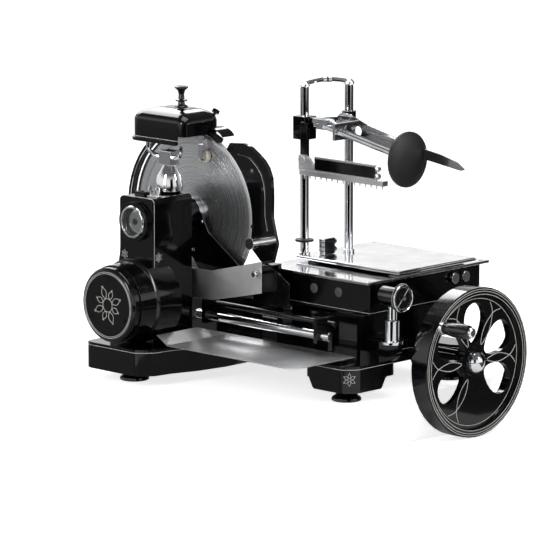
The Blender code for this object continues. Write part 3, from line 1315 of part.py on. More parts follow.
def make_flywheel_fittings():
    start = HUB_SETBACK - GAP
    profile = [(start, 0)]
    for k in range(6):
        turn = math.pi / 2 * k / 5
        profile.append((start - HUB_CAP_HEIGHT * math.sin(turn), HUB_CAP_RADIUS * math.cos(turn)))
    profile[-1] = (start - HUB_CAP_HEIGHT, 0)
    at = (FLYWHEEL_X, FLYWHEEL_FRONT_Y, FLYWHEEL_Z)
    finish("hub_cap", revolve(bmesh.new(), profile, "Y", segments=ROUND), CHROME, at)
    shaft_end = -MITRE_SMALL_RADIUS * (1 - MITRE_FACE_SHARE) + SEAT / 2
    at = (FLYWHEEL_X, 0, FLYWHEEL_Z)
    mesh = cylinder(bmesh.new(), "Y", FLYWHEEL_FRONT_Y + HUB_SETBACK, shaft_end, SHAFT_RADIUS)
    shaft = finish("flywheel_shaft", mesh, IRON, at, angle=30)
    depth = MITRE_LARGE_ROOT_MODULE_SHARE
    join(shaft, mitre("Y", MITRE_LARGE_RADIUS, MITRE_SMALL_RADIUS, MITRE_LARGE_TEETH, 0, depth), at)
    x, z = grip_offset()
    at = (FLYWHEEL_X + x, FLYWHEEL_FRONT_Y, FLYWHEEL_Z + z)
    collar = SPINDLE_COLLAR_LENGTH
    cap = collar + GRIP_LENGTH + GAP * 2
    end = cap + SPINDLE_CAP_LENGTH
    profile = (
        (GRIP_BOLT, 0), (GRIP_BOLT, SPINDLE_RADIUS), (-GAP, SPINDLE_RADIUS), (-GAP, SPINDLE_COLLAR_RADIUS),
        (-collar, SPINDLE_COLLAR_RADIUS - SEAT), (-collar, SPINDLE_RADIUS), (-cap, SPINDLE_RADIUS),
        (-cap, SPINDLE_CAP_RADIUS), (-end + SEAT, SPINDLE_CAP_RADIUS),
        (-end, SPINDLE_CAP_RADIUS - SEAT * 2),
        (-end, 0),
    )
    finish("handle_spindle", revolve(bmesh.new(), profile, "Y", segments=ROUND), CHROME, at)
    bore = SPINDLE_RADIUS + GAP
    start = collar + GAP
    profile = [(-start, bore)]
    profile += [(-start - a * GRIP_LENGTH, r * GRIP_RADIUS) for a, r in GRIP_PROFILE_SHARES]
    profile.append((-start - GRIP_LENGTH, bore))
    mesh = revolve(bmesh.new(), profile, "Y", segments=ROUND, closed=True)
    finish("handle_grip", mesh, GRIP, at)


def mitre(axis, radius, other, teeth, phase, depth):
    """One of the bevel gears, drawn about the point where the two shafts meet."""
    module = 2 * radius / teeth
    root = radius - module * depth
    tip = radius + module * GEAR_TIP_MODULE_SHARE
    keep = 1 - MITRE_FACE_SHARE
    bore = SHAFT_RADIUS - SEAT
    return gear(bmesh.new(), axis, -other, -other * keep, teeth, root, tip, bore, phase, keep)


def spur(teeth, phase):
    """A spur gear between the two lower shafts."""
    radius = GEAR_MODULE * teeth / 2
    root = radius - GEAR_MODULE * GEAR_ROOT_MODULE_SHARE
    tip = radius + GEAR_MODULE * GEAR_TIP_MODULE_SHARE
    return gear(bmesh.new(), "X", GEAR_X, GEAR_X + GEAR_WIDTH, teeth, root, tip, SHAFT_RADIUS - SEAT, phase)


def sprocket(teeth, radius):
    root = radius - SPROCKET_TOOTH / 2
    tip = radius + SPROCKET_TOOTH / 2
    end = SPROCKET_X + SPROCKET_WIDTH
    return gear(bmesh.new(), "X", SPROCKET_X, end, teeth, root, tip, SHAFT_RADIUS - SEAT)


def make_drive_train():
    start = GEAR_X - SEAT
    at = (0, 0, CROSS_AXIS_Z)
    end = FLYWHEEL_X - MITRE_LARGE_RADIUS * (1 - MITRE_FACE_SHARE) + SEAT / 2
    shaft = finish("cross_shaft", cylinder(bmesh.new(), "X", start, end, SHAFT_RADIUS), IRON, at, angle=30)
    join(shaft, spur(PINION_TEETH, 0.5), at)
    apex = (FLYWHEEL_X, 0, CROSS_AXIS_Z)
    depth = GEAR_ROOT_MODULE_SHARE
    join(shaft, mitre("X", MITRE_SMALL_RADIUS, MITRE_LARGE_RADIUS, MITRE_SMALL_TEETH, 0.5, depth), apex)
    at = (0, 0, DRUM_AXIS_Z)
    shaft = cylinder(bmesh.new(), "X", start, COLUMN_RIGHT_X, SHAFT_RADIUS)
    drum = finish("drum_wheel", shaft, IRON, at, angle=30)
    join(drum, spur(WHEEL_TEETH, 0), at)
    join(drum, sprocket(SPROCKET_LARGE_TEETH, SPROCKET_LARGE_RADIUS), at)


def make_chain():
    """A closed band that lies round both sprockets."""
    small = SPROCKET_SMALL_RADIUS
    run = BLADE_AXIS_Z - DRUM_AXIS_Z
    lean = (SPROCKET_LARGE_RADIUS - small) / run
    rings = []
    mesh = bmesh.new()
    inside = SPROCKET_TOOTH / 2 + GAP
    ends = (SPROCKET_X, SPROCKET_X + SPROCKET_WIDTH)
    outside = inside + CHAIN_THICK
    for x, extra in ((ends[0], inside), (ends[0], outside), (ends[1], outside), (ends[1], inside)):
        ring = []
        for k in range(FINE):
            turn = math.tau * k / FINE
            high = math.sin(turn) > lean
            radius = (small if high else SPROCKET_LARGE_RADIUS) + extra
            z = radius * math.sin(turn) + (run if high else 0)
            ring.append(mesh.verts.new((x, radius * math.cos(turn), z)))
        rings.append(ring)
    for low, high in zip(rings, rings[1:] + rings[:1]):
        bridge(mesh, low, high)
    finish("drive_chain", mesh, IRON, (0, 0, DRUM_AXIS_Z), angle=20)


def make_blade():
    at = (0, 0, BLADE_AXIS_Z)
    bore = BLADE_SHAFT_RADIUS + GAP
    back = -BLADE_THICK
    bevel_start = BLADE_RADIUS - BLADE_BEVEL_WIDTH
    profile = (
        (back, bore), (back, bevel_start), (-BLADE_EDGE_THICK, BLADE_RADIUS), (0, BLADE_RADIUS), (0, bore)
    )
    mesh = revolve(bmesh.new(), profile, "X", segments=FINE + ROUND, closed=True)
    finish("blade", mesh, STEEL, at, angle=2)
    hub_end = back - GAP
    mesh = tube(bmesh.new(), "X", GAP, GAP + BLADE_NUT_LENGTH, BLADE_NUT_RADIUS, bore)
    finish("blade_nut", mesh, CHROME, at)
    start = COLUMN_LEFT_X + SEAT
    flange = hub_end - BLADE_HUB_LENGTH
    end = GAP + BLADE_NUT_LENGTH
    profile = (
        (start, 0), (start, BLADE_SHAFT_RADIUS), (flange, BLADE_SHAFT_RADIUS), (flange, BLADE_HUB_RADIUS),
        (hub_end, BLADE_HUB_RADIUS), (hub_end, BLADE_SHAFT_RADIUS), (end, BLADE_SHAFT_RADIUS), (end, 0),
    )
    shaft = finish("blade_shaft", revolve(bmesh.new(), profile, "X", segments=ROUND), CHROME, at, angle=30)
    join(shaft, sprocket(SPROCKET_SMALL_TEETH, SPROCKET_SMALL_RADIUS), at)


def make_carriage():
    left, right = CARRIAGE_LEFT_X, CARRIAGE_RIGHT_X
    front, back = DECK_FRONT_Y + CARRIAGE_INSET, DECK_BACK_Y - CARRIAGE_INSET
    low, high = CARRIAGE_BOTTOM_Z, DECK_TOP_Z - DECK_THICK - GAP
    body = finish("carriage_body", box(bmesh.new(), (left, right), (front, back), (low, high)), BLACK)
    wall = CARRIAGE_WALL
    roof = high - CARRIAGE_ROOF
    edges = [left + wall]
    for x in (WAY_LEFT_X, WAY_RIGHT_X):
        edges += [x, x + WAY_WIDTH]
    edges.append(right - wall)
    hollow = bmesh.new()
    for start, end in zip(edges[::2], edges[1::2]):
        box(hollow, (start, end), (front + wall, back - wall), (low - OVERRUN, roof))
    cut(body, hollow)
    slot_x = (NUT_X - NUT_LENGTH / 2 - TABLE_TRAVEL - SLOT_MARGIN, NUT_X + NUT_LENGTH / 2 + SLOT_MARGIN)
    slot_y = (SCREW_Y - NUT_DEPTH / 2 - SEAT, SCREW_Y + NUT_DEPTH / 2 + SEAT)
    cut(body, box(bmesh.new(), slot_x, slot_y, (roof - OVERRUN, high + OVERRUN)))
    bore = SCREW_RADIUS + GAP
    start, end = left + wall + SEAT, right - wall - SEAT
    cut(body, cylinder(bmesh.new(), "X", start, end, bore, (0, SCREW_Y, SCREW_Z)))
    mesh = cylinder(bmesh.new(), "X", start, end, SCREW_RADIUS)
    finish("feed_screw", mesh, IRON, (0, SCREW_Y, SCREW_Z))
    low, high = DECK_TOP_Z - DECK_THICK, DECK_TOP_Z
    mesh = box(bmesh.new(), (DECK_LEFT_X, DECK_RIGHT_X), (DECK_FRONT_Y, DECK_BACK_Y), (low, high))
    deck = finish("deck_plate", mesh, STEEL)
    cut(deck, box(bmesh.new(), slot_x, slot_y, (low - OVERRUN, high + OVERRUN)))
    neck = FRONT_KNOB_RADIUS * FRONT_KNOB_NECK_SHARE
    end = -FRONT_KNOB_THICK
    profile = (
        (0, 0), (0, neck), (end / 3, neck), (end / 3, FRONT_KNOB_RADIUS), (end, FRONT_KNOB_RADIUS), (end, 0)
    )
    for k, name in enumerate(("front_knob_left", "front_knob_right")):
        at = (FRONT_KNOB_LEFT_X + k * FRONT_KNOB_PITCH, front - GAP, FRONT_KNOB_Z)
        finish(name, revolve(bmesh.new(), profile, "Y", segments=SMALL), CHROME, at)


def make_table():
    underside = TABLE_TOP_Z - TABLE_THICK
    low = DECK_TOP_Z + GAP
    mesh = box(
        bmesh.new(), (TABLE_LEFT_X, TABLE_RIGHT_X), (TABLE_FRONT_Y, TABLE_BACK_Y), (underside, TABLE_TOP_Z)
    )
    table = finish("feed_table", mesh, STEEL)
    length = (TABLE_LEFT_X + RUNNER_INSET, TABLE_RIGHT_X - RUNNER_INSET)
    runners = bmesh.new()
    for y in (TABLE_FRONT_Y + RUNNER_INSET, TABLE_BACK_Y - RUNNER_INSET - RUNNER_WIDTH):
        box(runners, length, (y, y + RUNNER_WIDTH), (low, underside + SEAT))
    half = NUT_LENGTH / 2
    depth = (SCREW_Y - NUT_DEPTH / 2, SCREW_Y + NUT_DEPTH / 2)
    box(runners, (NUT_X - half, NUT_X + half), depth, (SCREW_Z - SCREW_RADIUS - OVERRUN, underside + SEAT))
    join(table, runners)
    start, end = NUT_X - half - OVERRUN, NUT_X + half + OVERRUN
    cut(table, cylinder(bmesh.new(), "X", start, end, SCREW_RADIUS + GAP, (0, SCREW_Y, SCREW_Z)))
    half = CLAMP_WIDTH / 2
    depth = CLAMP_DEPTH / 2
    low = TABLE_TOP_Z + GAP
    sides = (CLAMP_X - half, CLAMP_X + half)
    mesh = box(bmesh.new(), sides, (CLAMP_Y - depth, CLAMP_Y + depth), (low, low + CLAMP_HEIGHT))
    bevel(finish("table_clamp", mesh, CHROME), SEAT)


def post_places():
    return (
        (POST_LEFT_X, POST_LEFT_Y),
        (POST_LEFT_X + POST_STEP_X, POST_LEFT_Y + POST_STEP_Y),
    )


def make_posts():
    low = TABLE_TOP_Z + GAP
    foot = low + POST_FOOT_HEIGHT
    profile = (
        (low, 0), (low, POST_FOOT_RADIUS), (foot, POST_FOOT_RADIUS), (foot, POST_RADIUS),
        (POST_TOP_Z, POST_RADIUS), (POST_TOP_Z, 0),
    )
    for name, (x, y) in zip(("post_left", "post_right"), post_places()):
        finish(name, revolve(bmesh.new(), profile, "Z", segments=SMALL), CHROME, (x, y, 0))
    low = POST_TOP_Z + GAP
    first, last = (Vector(p) for p in post_places())
    points = []
    for k in range(9):
        flat = first.lerp(last, k / 8)
        points.append((flat.x, flat.y, low + CAP_HEIGHT / 2 + CROSSBAR_ARCH * math.sin(math.pi * k / 8)))
    bar = finish("post_crossbar", sweep(bmesh.new(), points, CROSSBAR_RADIUS), CHROME)
    profile = [(low, 0)] + [(low + a * CAP_HEIGHT, r * CAP_RADIUS) for a, r in CAP_SHARES]
    mesh = bmesh.new()
    for x, y in post_places():
        revolve(mesh, profile, "Z", (x, y, 0), SMALL)
    join(bar, mesh)
    x, y = post_places()[0]
    top = POST_COLLAR_Z + POST_COLLAR_THICK
    mesh = tube(bmesh.new(), "Z", POST_COLLAR_Z, top, POST_COLLAR_RADIUS, POST_RADIUS + GAP, (x, y, 0))
    finish("post_collar", mesh, RUBBER)


def make_press_head():
    (x, y), (x2, y2) = post_places()
    half = HEAD_HALF
    low, top = HEAD_LOW_Z, HEAD_LOW_Z + HEAD_HEIGHT
    block = box(bmesh.new(), (x - half, x + half), (y - half, y + half), (low, top))
    head = finish("press_head", block, BLACK)
    join(head, cylinder(bmesh.new(), "Z", YOKE_Z - half, YOKE_Z + half, SLEEVE_RADIUS, (x2, y2, 0), ROUND))
    join(head, sweep(bmesh.new(), ((x, y, YOKE_Z), (x2, y2, YOKE_Z)), YOKE_RADIUS))
    bores = bmesh.new()
    for place in post_places():
        cylinder(bores, "Z", low - OVERRUN, top + half, POST_RADIUS + GAP, (*place, 0))
    cut(head, bores)
    pads = bmesh.new()
    hanger_left = x - half - BRACKET_THICK
    near = (TOOTH_PIVOT_Y - HANGER_HALF, TOOTH_PIVOT_Y + HANGER_HALF)
    box(pads, (hanger_left, x - half + SEAT), near, (TOOTH_PIVOT_Z - HANGER_HALF, top - HANGER_HALF))
    near = (LEVER_PIVOT_Y - HANGER_HALF, y - half + SEAT)
    height = (LEVER_PIVOT_Z - HANGER_HALF, LEVER_PIVOT_Z + HANGER_HALF)
    box(pads, (x - TONGUE_HALF, x + TONGUE_HALF), near, height)
    join(head, pads)
    pins = bmesh.new()
    radius = PIVOT_PIN_RADIUS + GAP
    start, end = hanger_left - OVERRUN, x - half + OVERRUN
    cylinder(pins, "X", start, end, radius, (0, TOOTH_PIVOT_Y, TOOTH_PIVOT_Z))
    cylinder(pins, "X", x - half, x + half, radius, (0, LEVER_PIVOT_Y, LEVER_PIVOT_Z))
    cut(head, pins)


def make_tooth_bar():
    """The toothed bar with its end plate, its pivot pin and the panel along it."""
    hanger_left = post_places()[0][0] - HEAD_HALF - BRACKET_THICK
    right = hanger_left - GAP
    left = right - BRACKET_THICK
    bar_left = left - TOOTH_BAR_WIDTH / 4
    top, low = TOOTH_BAR_TOP_Z, TOOTH_BAR_TOP_Z - TOOTH_BAR_HEIGHT
    end = TOOTH_BAR_BACK_Y - TOOTH_BAR_LENGTH
    sides = (bar_left, bar_left + TOOTH_BAR_WIDTH)
    bar = finish("toothed_bar", box(bmesh.new(), sides, (end, TOOTH_BAR_BACK_Y), (low, top)), STEEL)
    pitch = TOOTH_BAR_LENGTH / TOOTH_COUNT
    teeth = bmesh.new()
    for k in range(TOOTH_COUNT):
        centre = (bar_left + TOOTH_BAR_WIDTH / 2, end + pitch * (k + 0.5), low)
        revolve(teeth, ((SEAT, 0), (SEAT, TOOTH_RADIUS), (-TOOTH_LENGTH, 0)), "Z", centre, TINY)
    join(bar, teeth)
    y = TOOTH_PIVOT_Y
    crown = TOOTH_PIVOT_Z + HANGER_HALF
    reach = PANEL_BACK_Y + GAP
    foot = top - SEAT
    outline = (
        (y + HANGER_HALF, foot), (y + HANGER_HALF, crown), (y - HANGER_HALF, crown),
        (y - HANGER_HALF * 2, crown - HANGER_HALF / 2), (reach, top + PANEL_THICK * 2), (reach, foot),
    )
    join(bar, prism(bmesh.new(), outline, "X", left, right))
    centre = (0, y, TOOTH_PIVOT_Z)
    pin_end = hanger_left + BRACKET_THICK
    profile = (
        (left - PIN_HEAD, 0), (left - PIN_HEAD, PIVOT_PIN_RADIUS * PIN_HEAD_SHARE),
        (left + SEAT, PIVOT_PIN_RADIUS * PIN_HEAD_SHARE), (left + SEAT, PIVOT_PIN_RADIUS),
        (pin_end, PIVOT_PIN_RADIUS), (pin_end, 0),
    )
    join(bar, revolve(bmesh.new(), profile, "X", centre, SMALL))
    near = PANEL_BACK_Y - PANEL_LENGTH
    high = top + PANEL_HEIGHT
    join(bar, box(bmesh.new(), (left, left + PANEL_THICK), (near, PANEL_BACK_Y + SEAT), (foot, high)))
    balls = bmesh.new()
    for k in (1, 2):
        z = top + PANEL_HEIGHT * k / 2 - BALL_NUT_RADIUS
        ball(balls, (left + PANEL_THICK / 2, near - BALL_NUT_RADIUS / 2, z), BALL_NUT_RADIUS)
    join(bar, balls)
    set_origin(bar, centre)


def make_lever():
    """Yoke and rods, the plate with its strap, and the guard disc, drawn about the lever's pivot."""
    x = post_places()[0][0]
    at = (0, LEVER_PIVOT_Y, LEVER_PIVOT_Z)
    half = HANGER_HALF
    slot = TONGUE_HALF + GAP
    outer = slot + BRACKET_THICK
    block = box(bmesh.new(), (x - outer, x + outer), (-half * 3, half), (-half, half))
    yoke = finish("lever_rods", block, CHROME, at)
    opening = (-half * YOKE_SLOT_SHARE, half + OVERRUN)
    cut(yoke, box(bmesh.new(), (x - slot, x + slot), opening, (-half - OVERRUN, half + OVERRUN)), at)
    pin = PIN_HEAD + outer
    join(yoke, cylinder(bmesh.new(), "X", x - pin, x + pin, PIVOT_PIN_RADIUS), at)
    slope = LEVER_DROP / LEVER_REACH
    tilt = LEVER_ROD_RADIUS * slope
    start = -half * 2
    end = -LEVER_REACH + GUARD_DISC_THICK / 2 + GAP + tilt
    rods = bmesh.new()
    for side in (-1, 1):
        rod_x = x + side * LEVER_ROD_SPREAD
        sweep(rods, ((rod_x, start, slope * start), (rod_x, end, slope * end)), LEVER_ROD_RADIUS)
    join(yoke, rods, at)
    make_lever_plate(x, at, slope)
    make_guard_disc(x, at)


def make_lever_plate(x, at, slope):
    right = LEVER_PLATE_X + LEVER_PLATE_THICK
    outline = [
        (-a * LEVER_PLATE_REACH, -a * LEVER_PLATE_DROP + h * LEVER_PLATE_HEIGHT)
        for a, h in LEVER_PLATE_SHARES
    ]
    mesh = prism(bmesh.new(), rounded(outline, LEVER_PLATE_HEIGHT / 2, 3), "X", LEVER_PLATE_X, right)
    plate = finish("lever_plate", mesh, STEEL, at)
    z = -STRAP_REACH * slope
    left = x - LEVER_ROD_SPREAD - LEVER_ROD_RADIUS * 2
    near = (-STRAP_REACH - STRAP_THICK / 2, -STRAP_REACH + STRAP_THICK / 2)
    join(plate, box(bmesh.new(), (left, LEVER_PLATE_X + SEAT), near, (z - STRAP_HALF, z + STRAP_HALF)), at)
    holes = bmesh.new()
    radius = LEVER_ROD_RADIUS + STRAP_THICK * slope / 2 + GAP
    for side in (-1, 1):
        centre = (x + side * LEVER_ROD_SPREAD, 0, z)
        cylinder(holes, "Y", near[0] - OVERRUN, near[1] + OVERRUN, radius, centre)
    share = LEVER_HOLE_SHARE
    centre = (0, -share * LEVER_PLATE_REACH, -share * LEVER_PLATE_DROP)
    cylinder(holes, "X", LEVER_PLATE_X - OVERRUN, right + OVERRUN, LEVER_HOLE_RADIUS, centre)
    cut(plate, holes, at)


def make_guard_disc(x, at):
    """A dished disc with a slot that lets the lever plate through."""
    thick = GUARD_DISC_THICK / 2
    points = [(a * GUARD_DISC_DISH, r * GUARD_DISC_RADIUS) for a, r in GUARD_DISC_SHARES]
    profile = [(a - thick, r) for a, r in points] + [(a + thick, r) for a, r in reversed(points)]
    centre = (x, -LEVER_REACH, -LEVER_DROP)
    disc = finish("guard_disc", revolve(bmesh.new(), profile, "Y", centre, FINE), RUBBER, at, angle=60)
    share = LEVER_REACH / LEVER_PLATE_REACH
    line = -share * LEVER_PLATE_DROP
    low, high = (line + h * LEVER_PLATE_HEIGHT for h in LEVER_SLOT_SHARES)
    sides = (LEVER_PLATE_X - GAP * 2, LEVER_PLATE_X + LEVER_PLATE_THICK + GAP * 2)
    near = (-LEVER_REACH - GUARD_DISC_RADIUS, -LEVER_REACH + GUARD_DISC_RADIUS)
    cut(disc, box(bmesh.new(), sides, near, (low, high)), at)


def main():
    make_base()
    make_feet()
    make_column()
    make_drive_housing()
    make_drive_cover()
    make_sight()
    make_oilers()
    make_blade_boss()
    make_guard_ring()
    make_rods()
    make_tray()
    make_catch_plates()
    make_deflector()
    make_side_plate()
    make_gauge()
    make_dial()
    make_hood()
    make_pedestal()
    make_stones()
    make_finial()
    make_flywheel()
    make_flywheel_fittings()
    make_drive_train()
    make_chain()
    make_blade()
    make_carriage()
    make_table()
    make_posts()
    make_press_head()
    make_tooth_bar()
    make_lever()


main()
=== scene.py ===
# %% [markdown]
# # A hand crank meat slicer
# The machine is a black enamelled stand with a round blade, a carriage that slides past
# the blade, a press that holds the meat, and a flywheel that drives everything by hand.
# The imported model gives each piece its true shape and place. This lesson dresses it:
# it rounds the edges that a file and a polishing wheel would round, adds screws, pinstripes
# and other small work, and gives every surface the finish of the real material.

import json
import math

import bmesh
import bpy
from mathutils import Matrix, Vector


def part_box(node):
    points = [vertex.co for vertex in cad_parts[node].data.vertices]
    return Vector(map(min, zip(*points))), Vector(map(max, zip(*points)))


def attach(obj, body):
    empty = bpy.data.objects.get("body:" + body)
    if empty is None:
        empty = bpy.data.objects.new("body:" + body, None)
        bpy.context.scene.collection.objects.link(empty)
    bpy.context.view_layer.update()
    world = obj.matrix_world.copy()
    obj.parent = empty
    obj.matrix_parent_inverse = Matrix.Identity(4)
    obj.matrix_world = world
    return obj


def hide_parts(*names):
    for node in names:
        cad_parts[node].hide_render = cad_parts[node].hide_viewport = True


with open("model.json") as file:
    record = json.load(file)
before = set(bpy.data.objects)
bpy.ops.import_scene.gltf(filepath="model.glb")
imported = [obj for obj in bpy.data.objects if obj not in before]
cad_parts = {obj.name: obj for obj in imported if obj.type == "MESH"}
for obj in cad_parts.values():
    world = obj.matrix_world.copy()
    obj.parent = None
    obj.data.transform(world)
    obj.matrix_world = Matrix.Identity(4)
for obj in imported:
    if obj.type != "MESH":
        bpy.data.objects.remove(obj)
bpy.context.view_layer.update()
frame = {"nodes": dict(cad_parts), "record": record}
scene = bpy.context.scene
MM = 0.001
LEFT, RIGHT, NEAR, UP = (-1, 0, 0), (1, 0, 0), (0, -1, 0), (0, 0, 1)
BLADE_CENTRE = (0.0, 0.0, 0.289)
BLADE_RADIUS = 0.150
body_of_node = {}
for body, names in frame["record"]["behaviour"]["bodies"].items():
    for name in names:
        body_of_node[name] = body

# %% [markdown]
# ## The camera
# The photograph was taken with a long lens from the left front corner, a little above the
# table. A long lens keeps far and near parts almost the same size, so the upright posts stay
# parallel. The camera is placed by a point that it looks at and its distance from there.

# %% Camera
LOOK_AT = Vector((0.0865, -0.1194, 0.1750))
BACK = Vector((-0.70775, -0.68346, 0.1788)).normalized()
DISTANCE = 8.2125
LENS_MM = 294.5
camera = bpy.data.objects.new("camera", bpy.data.cameras.new("camera"))
scene.collection.objects.link(camera)
camera.location = LOOK_AT + BACK * DISTANCE
camera.rotation_euler = BACK.to_track_quat("Z", "Y").to_euler()
camera.data.lens = LENS_MM
camera.data.sensor_width = 36
camera.data.clip_end = 60
scene.camera = camera
print("camera at", [round(c, 2) for c in camera.location])

# %% [markdown]
# ## Colours and nodes
# Colours are picked on a screen, so they are sRGB values. Shaders count in linear light, and
# one function turns the first into the second. A second small function adds one node with its
# settings and links. No real surface is the same all over, so a third lets soft patterns vary
# the colour, the polish and the height. Most of a noise lies between 0.3 and 0.7, so that
# span is stretched over the two values. All this keeps each material short enough to read.

# %% Helpers for materials
PATTERN_SPAN = (0.3, 0.7)


def linear(code):
    """An sRGB hex colour as linear red, green, blue and alpha."""
    parts = (int(code[k:k + 2], 16) / 255 for k in (0, 2, 4))
    return (*(c / 12.92 if c <= 0.04045 else ((c + 0.055) / 1.055) ** 2.4 for c in parts), 1.0)


def add(tree, kind, inputs=None, **settings):
    """One node. The settings are its own. An input is a value, a socket or a node that feeds it."""
    new = tree.nodes.new(kind)
    for key, value in settings.items():
        setattr(new, key, value)
    for key, value in (inputs or {}).items():
        if isinstance(value, bpy.types.Node):
            value = value.outputs[0]
        if isinstance(value, bpy.types.NodeSocket):
            tree.links.new(value, new.inputs[key])
        else:
            new.inputs[key].default_value = value
    return new


def surface(name, **values):
    """A new material, its node tree and its shader with the values that are the same all over."""
    made = bpy.data.materials.new(name)
    made.use_nodes = True
    shader = made.node_tree.nodes["Principled BSDF"]
    for key, value in values.items():
        shader.inputs[key.replace("_", " ")].default_value = value
    return made, made.node_tree, shader


def grain(tree, scale_mm, stretch=(1, 1, 1), detail=3.0):
    """Noise whose patches are about scale_mm across, stretched by the three factors."""
    place = add(tree, "ShaderNodeTexCoord").outputs["Object"]
    turned = add(tree, "ShaderNodeMapping", {"Vector": place, "Scale": stretch})
    spots = {"Vector": turned.outputs["Vector"], "Scale": 1 / (scale_mm * MM), "Detail": detail}
    return add(tree, "ShaderNodeTexNoise", spots)


def finish(tree, shader, colour, polish=None, dents=None):
    """Let patterns vary a surface. Each of the three is a pattern and its two values.

    The colour runs between two sRGB values and the polish between two roughnesses. The dents
    have a real depth in millimetres and a strength.
    """
    ramp = add(tree, "ShaderNodeValToRGB", {"Fac": colour[0]})
    for element, place, code in zip(ramp.color_ramp.elements, PATTERN_SPAN, colour[1:]):
        element.position = place
        element.color = linear(code)
    tree.links.new(ramp.outputs["Color"], shader.inputs["Base Color"])
    if polish:
        source, low, high = polish
        reach = {"Value": source, "From Min": PATTERN_SPAN[0], "From Max": PATTERN_SPAN[1]}
        varied = add(tree, "ShaderNodeMapRange", {**reach, "To Min": low, "To Max": high})
        tree.links.new(varied.outputs["Result"], shader.inputs["Roughness"])
    if dents:
        source, depth_mm, strength = dents
        facts = {"Height": source, "Distance": depth_mm * MM, "Strength": strength}
        bump = add(tree, "ShaderNodeBump", facts)
        tree.links.new(bump.outputs["Normal"], shader.inputs["Normal"])


# %% [markdown]
# ## Black stove enamel
# The castings are cast iron under a thick black enamel that was baked on. It is glossy like
# glass, yet it flows a little while it bakes, so its reflections waver gently. A clear coat
# over a very dark base gives the deep gloss, and a soft noise with patches of about 9 mm
# gives the waver. A second, finer noise stands for the dust and wiping marks.

# %% Black stove enamel
enamel, tree, shader = surface("black_stove_enamel", Coat_Weight=0.25, Coat_Roughness=0.02, IOR=1.4)
flow = grain(tree, 9)
marks = grain(tree, 2.2, detail=6)
finish(tree, shader, (marks, "040405", "0a0a0c"), (marks, 0.06, 0.16), (flow, 0.05, 0.35))
print("made", enamel.name)

# %% [markdown]
# ## Polished stainless steel
# The feed table, the deck under it and the lever's plate are steel polished along their
# length. The polish leaves hair lines, about 0.4 mm apart on the real sheet. They are drawn
# 1.2 mm apart, because finer ones wouldn't show at this size of picture. Noise that is
# stretched thirty times along Y draws them.

# %% Polished sheet steel
sheet_steel, tree, shader = surface("polished_stainless_steel", Metallic=1.0)
lines = grain(tree, 1.2, stretch=(1, 0.03, 1))
smears = grain(tree, 45)
finish(tree, shader, (smears, "cdcdcf", "e4e4e5"), (lines, 0.07, 0.16), (lines, 0.012, 0.08))

# %% [markdown]
# The slice tray, the catch plates and the toothed bar are the same steel with a satin finish
# from an abrasive belt. They scatter light widely, so they look light grey where a mirror
# would only show the black castings above them.

# %% Satin sheet steel
satin_steel, tree, shader = surface("satin_stainless_steel", Metallic=1.0)
lines = grain(tree, 1.2, stretch=(1, 0.03, 1))
smears = grain(tree, 45)
finish(tree, shader, (smears, "d0d0d2", "e6e6e7"), (lines, 0.3, 0.42), (lines, 0.012, 0.1))

# %% [markdown]
# The blade is ground while it turns, so its lines are rings about its shaft. The distance
# from the shaft, found with a vector length in the plane of the blade, feeds the noise, which
# then only changes from ring to ring. The rings are drawn 1.5 mm apart. They blur what the
# blade mirrors, so it stays light beside the black castings.

# %% Ground blade steel
blade_steel, tree, shader = surface("ring_ground_blade_steel", Metallic=1.0)
place = add(tree, "ShaderNodeTexCoord").outputs["Object"]
centred = add(tree, "ShaderNodeVectorMath", {0: place, 1: BLADE_CENTRE}, operation="SUBTRACT")
flat = add(tree, "ShaderNodeVectorMath", {0: centred, 1: (0, 1, 1)}, operation="MULTIPLY")
reach = add(tree, "ShaderNodeVectorMath", {0: flat}, operation="LENGTH").outputs["Value"]
spacing = {"W": reach, "Scale": 1 / (1.5 * MM), "Detail": 2.0}
rings = add(tree, "ShaderNodeTexNoise", spacing, noise_dimensions="1D")
finish(tree, shader, (rings, "c6c7ca", "dedfe1"), (rings, 0.24, 0.36), (rings, 0.01, 0.2))
print("made", sheet_steel.name, "and", blade_steel.name)

# %% [markdown]
# ## Chrome plate
# Rods, posts, knobs and caps are plated. Chrome is a slightly blue mirror. Only faint smears
# from fingers keep it from being perfect, so a broad noise moves its roughness a little.

# %% Chrome plate
chrome, tree, shader = surface("chrome_plate", Metallic=1.0)
smears = grain(tree, 18, detail=4)
finish(tree, shader, (smears, "dcdee1", "eceef0"), (smears, 0.02, 0.09), (smears, 0.02, 0.15))

# %% [markdown]
# ## Darker metals
# The deflector, the side plate and the inlay of the press's panel are steel polished to a
# dark mirror that shows the black castings. The shafts and gears are plain machined iron
# with a film of oil: turned lines 1 mm apart, a mid grey, and a soft gloss.

# %% Dark steel and machined iron
dark_steel, tree, shader = surface("dark_polished_steel", Metallic=1.0)
smears = grain(tree, 30)
lines = grain(tree, 1.0, stretch=(1, 1, 0.05))
finish(tree, shader, (smears, "3c3b3d", "545355"), (lines, 0.1, 0.22), (lines, 0.01, 0.08))

machined_iron, tree, shader = surface("oiled_machined_iron", Metallic=1.0)
lines = grain(tree, 1.0, stretch=(1, 0.2, 0.2))
finish(tree, shader, (lines, "5c5a58", "858380"), (lines, 0.25, 0.42), (lines, 0.03, 0.5))
print("made", chrome.name, dark_steel.name, machined_iron.name)

# %% [markdown]
# ## Glass, stone, and black grips
# The sight glass is clear soda glass. The two sharpening stones are pale bonded grit, which
# is rough and speckled at about 0.6 mm. The crank's grip and the hood's finial are turned
# from black phenolic resin, harder and glossier than the guard disc, which is moulded.

# %% Glass, stone and grips
glass, tree, shader = surface("clear_soda_glass", Transmission_Weight=1.0, IOR=1.52)
smears = grain(tree, 12)
finish(tree, shader, (smears, "f2f5f5", "ffffff"), (smears, 0.0, 0.05))

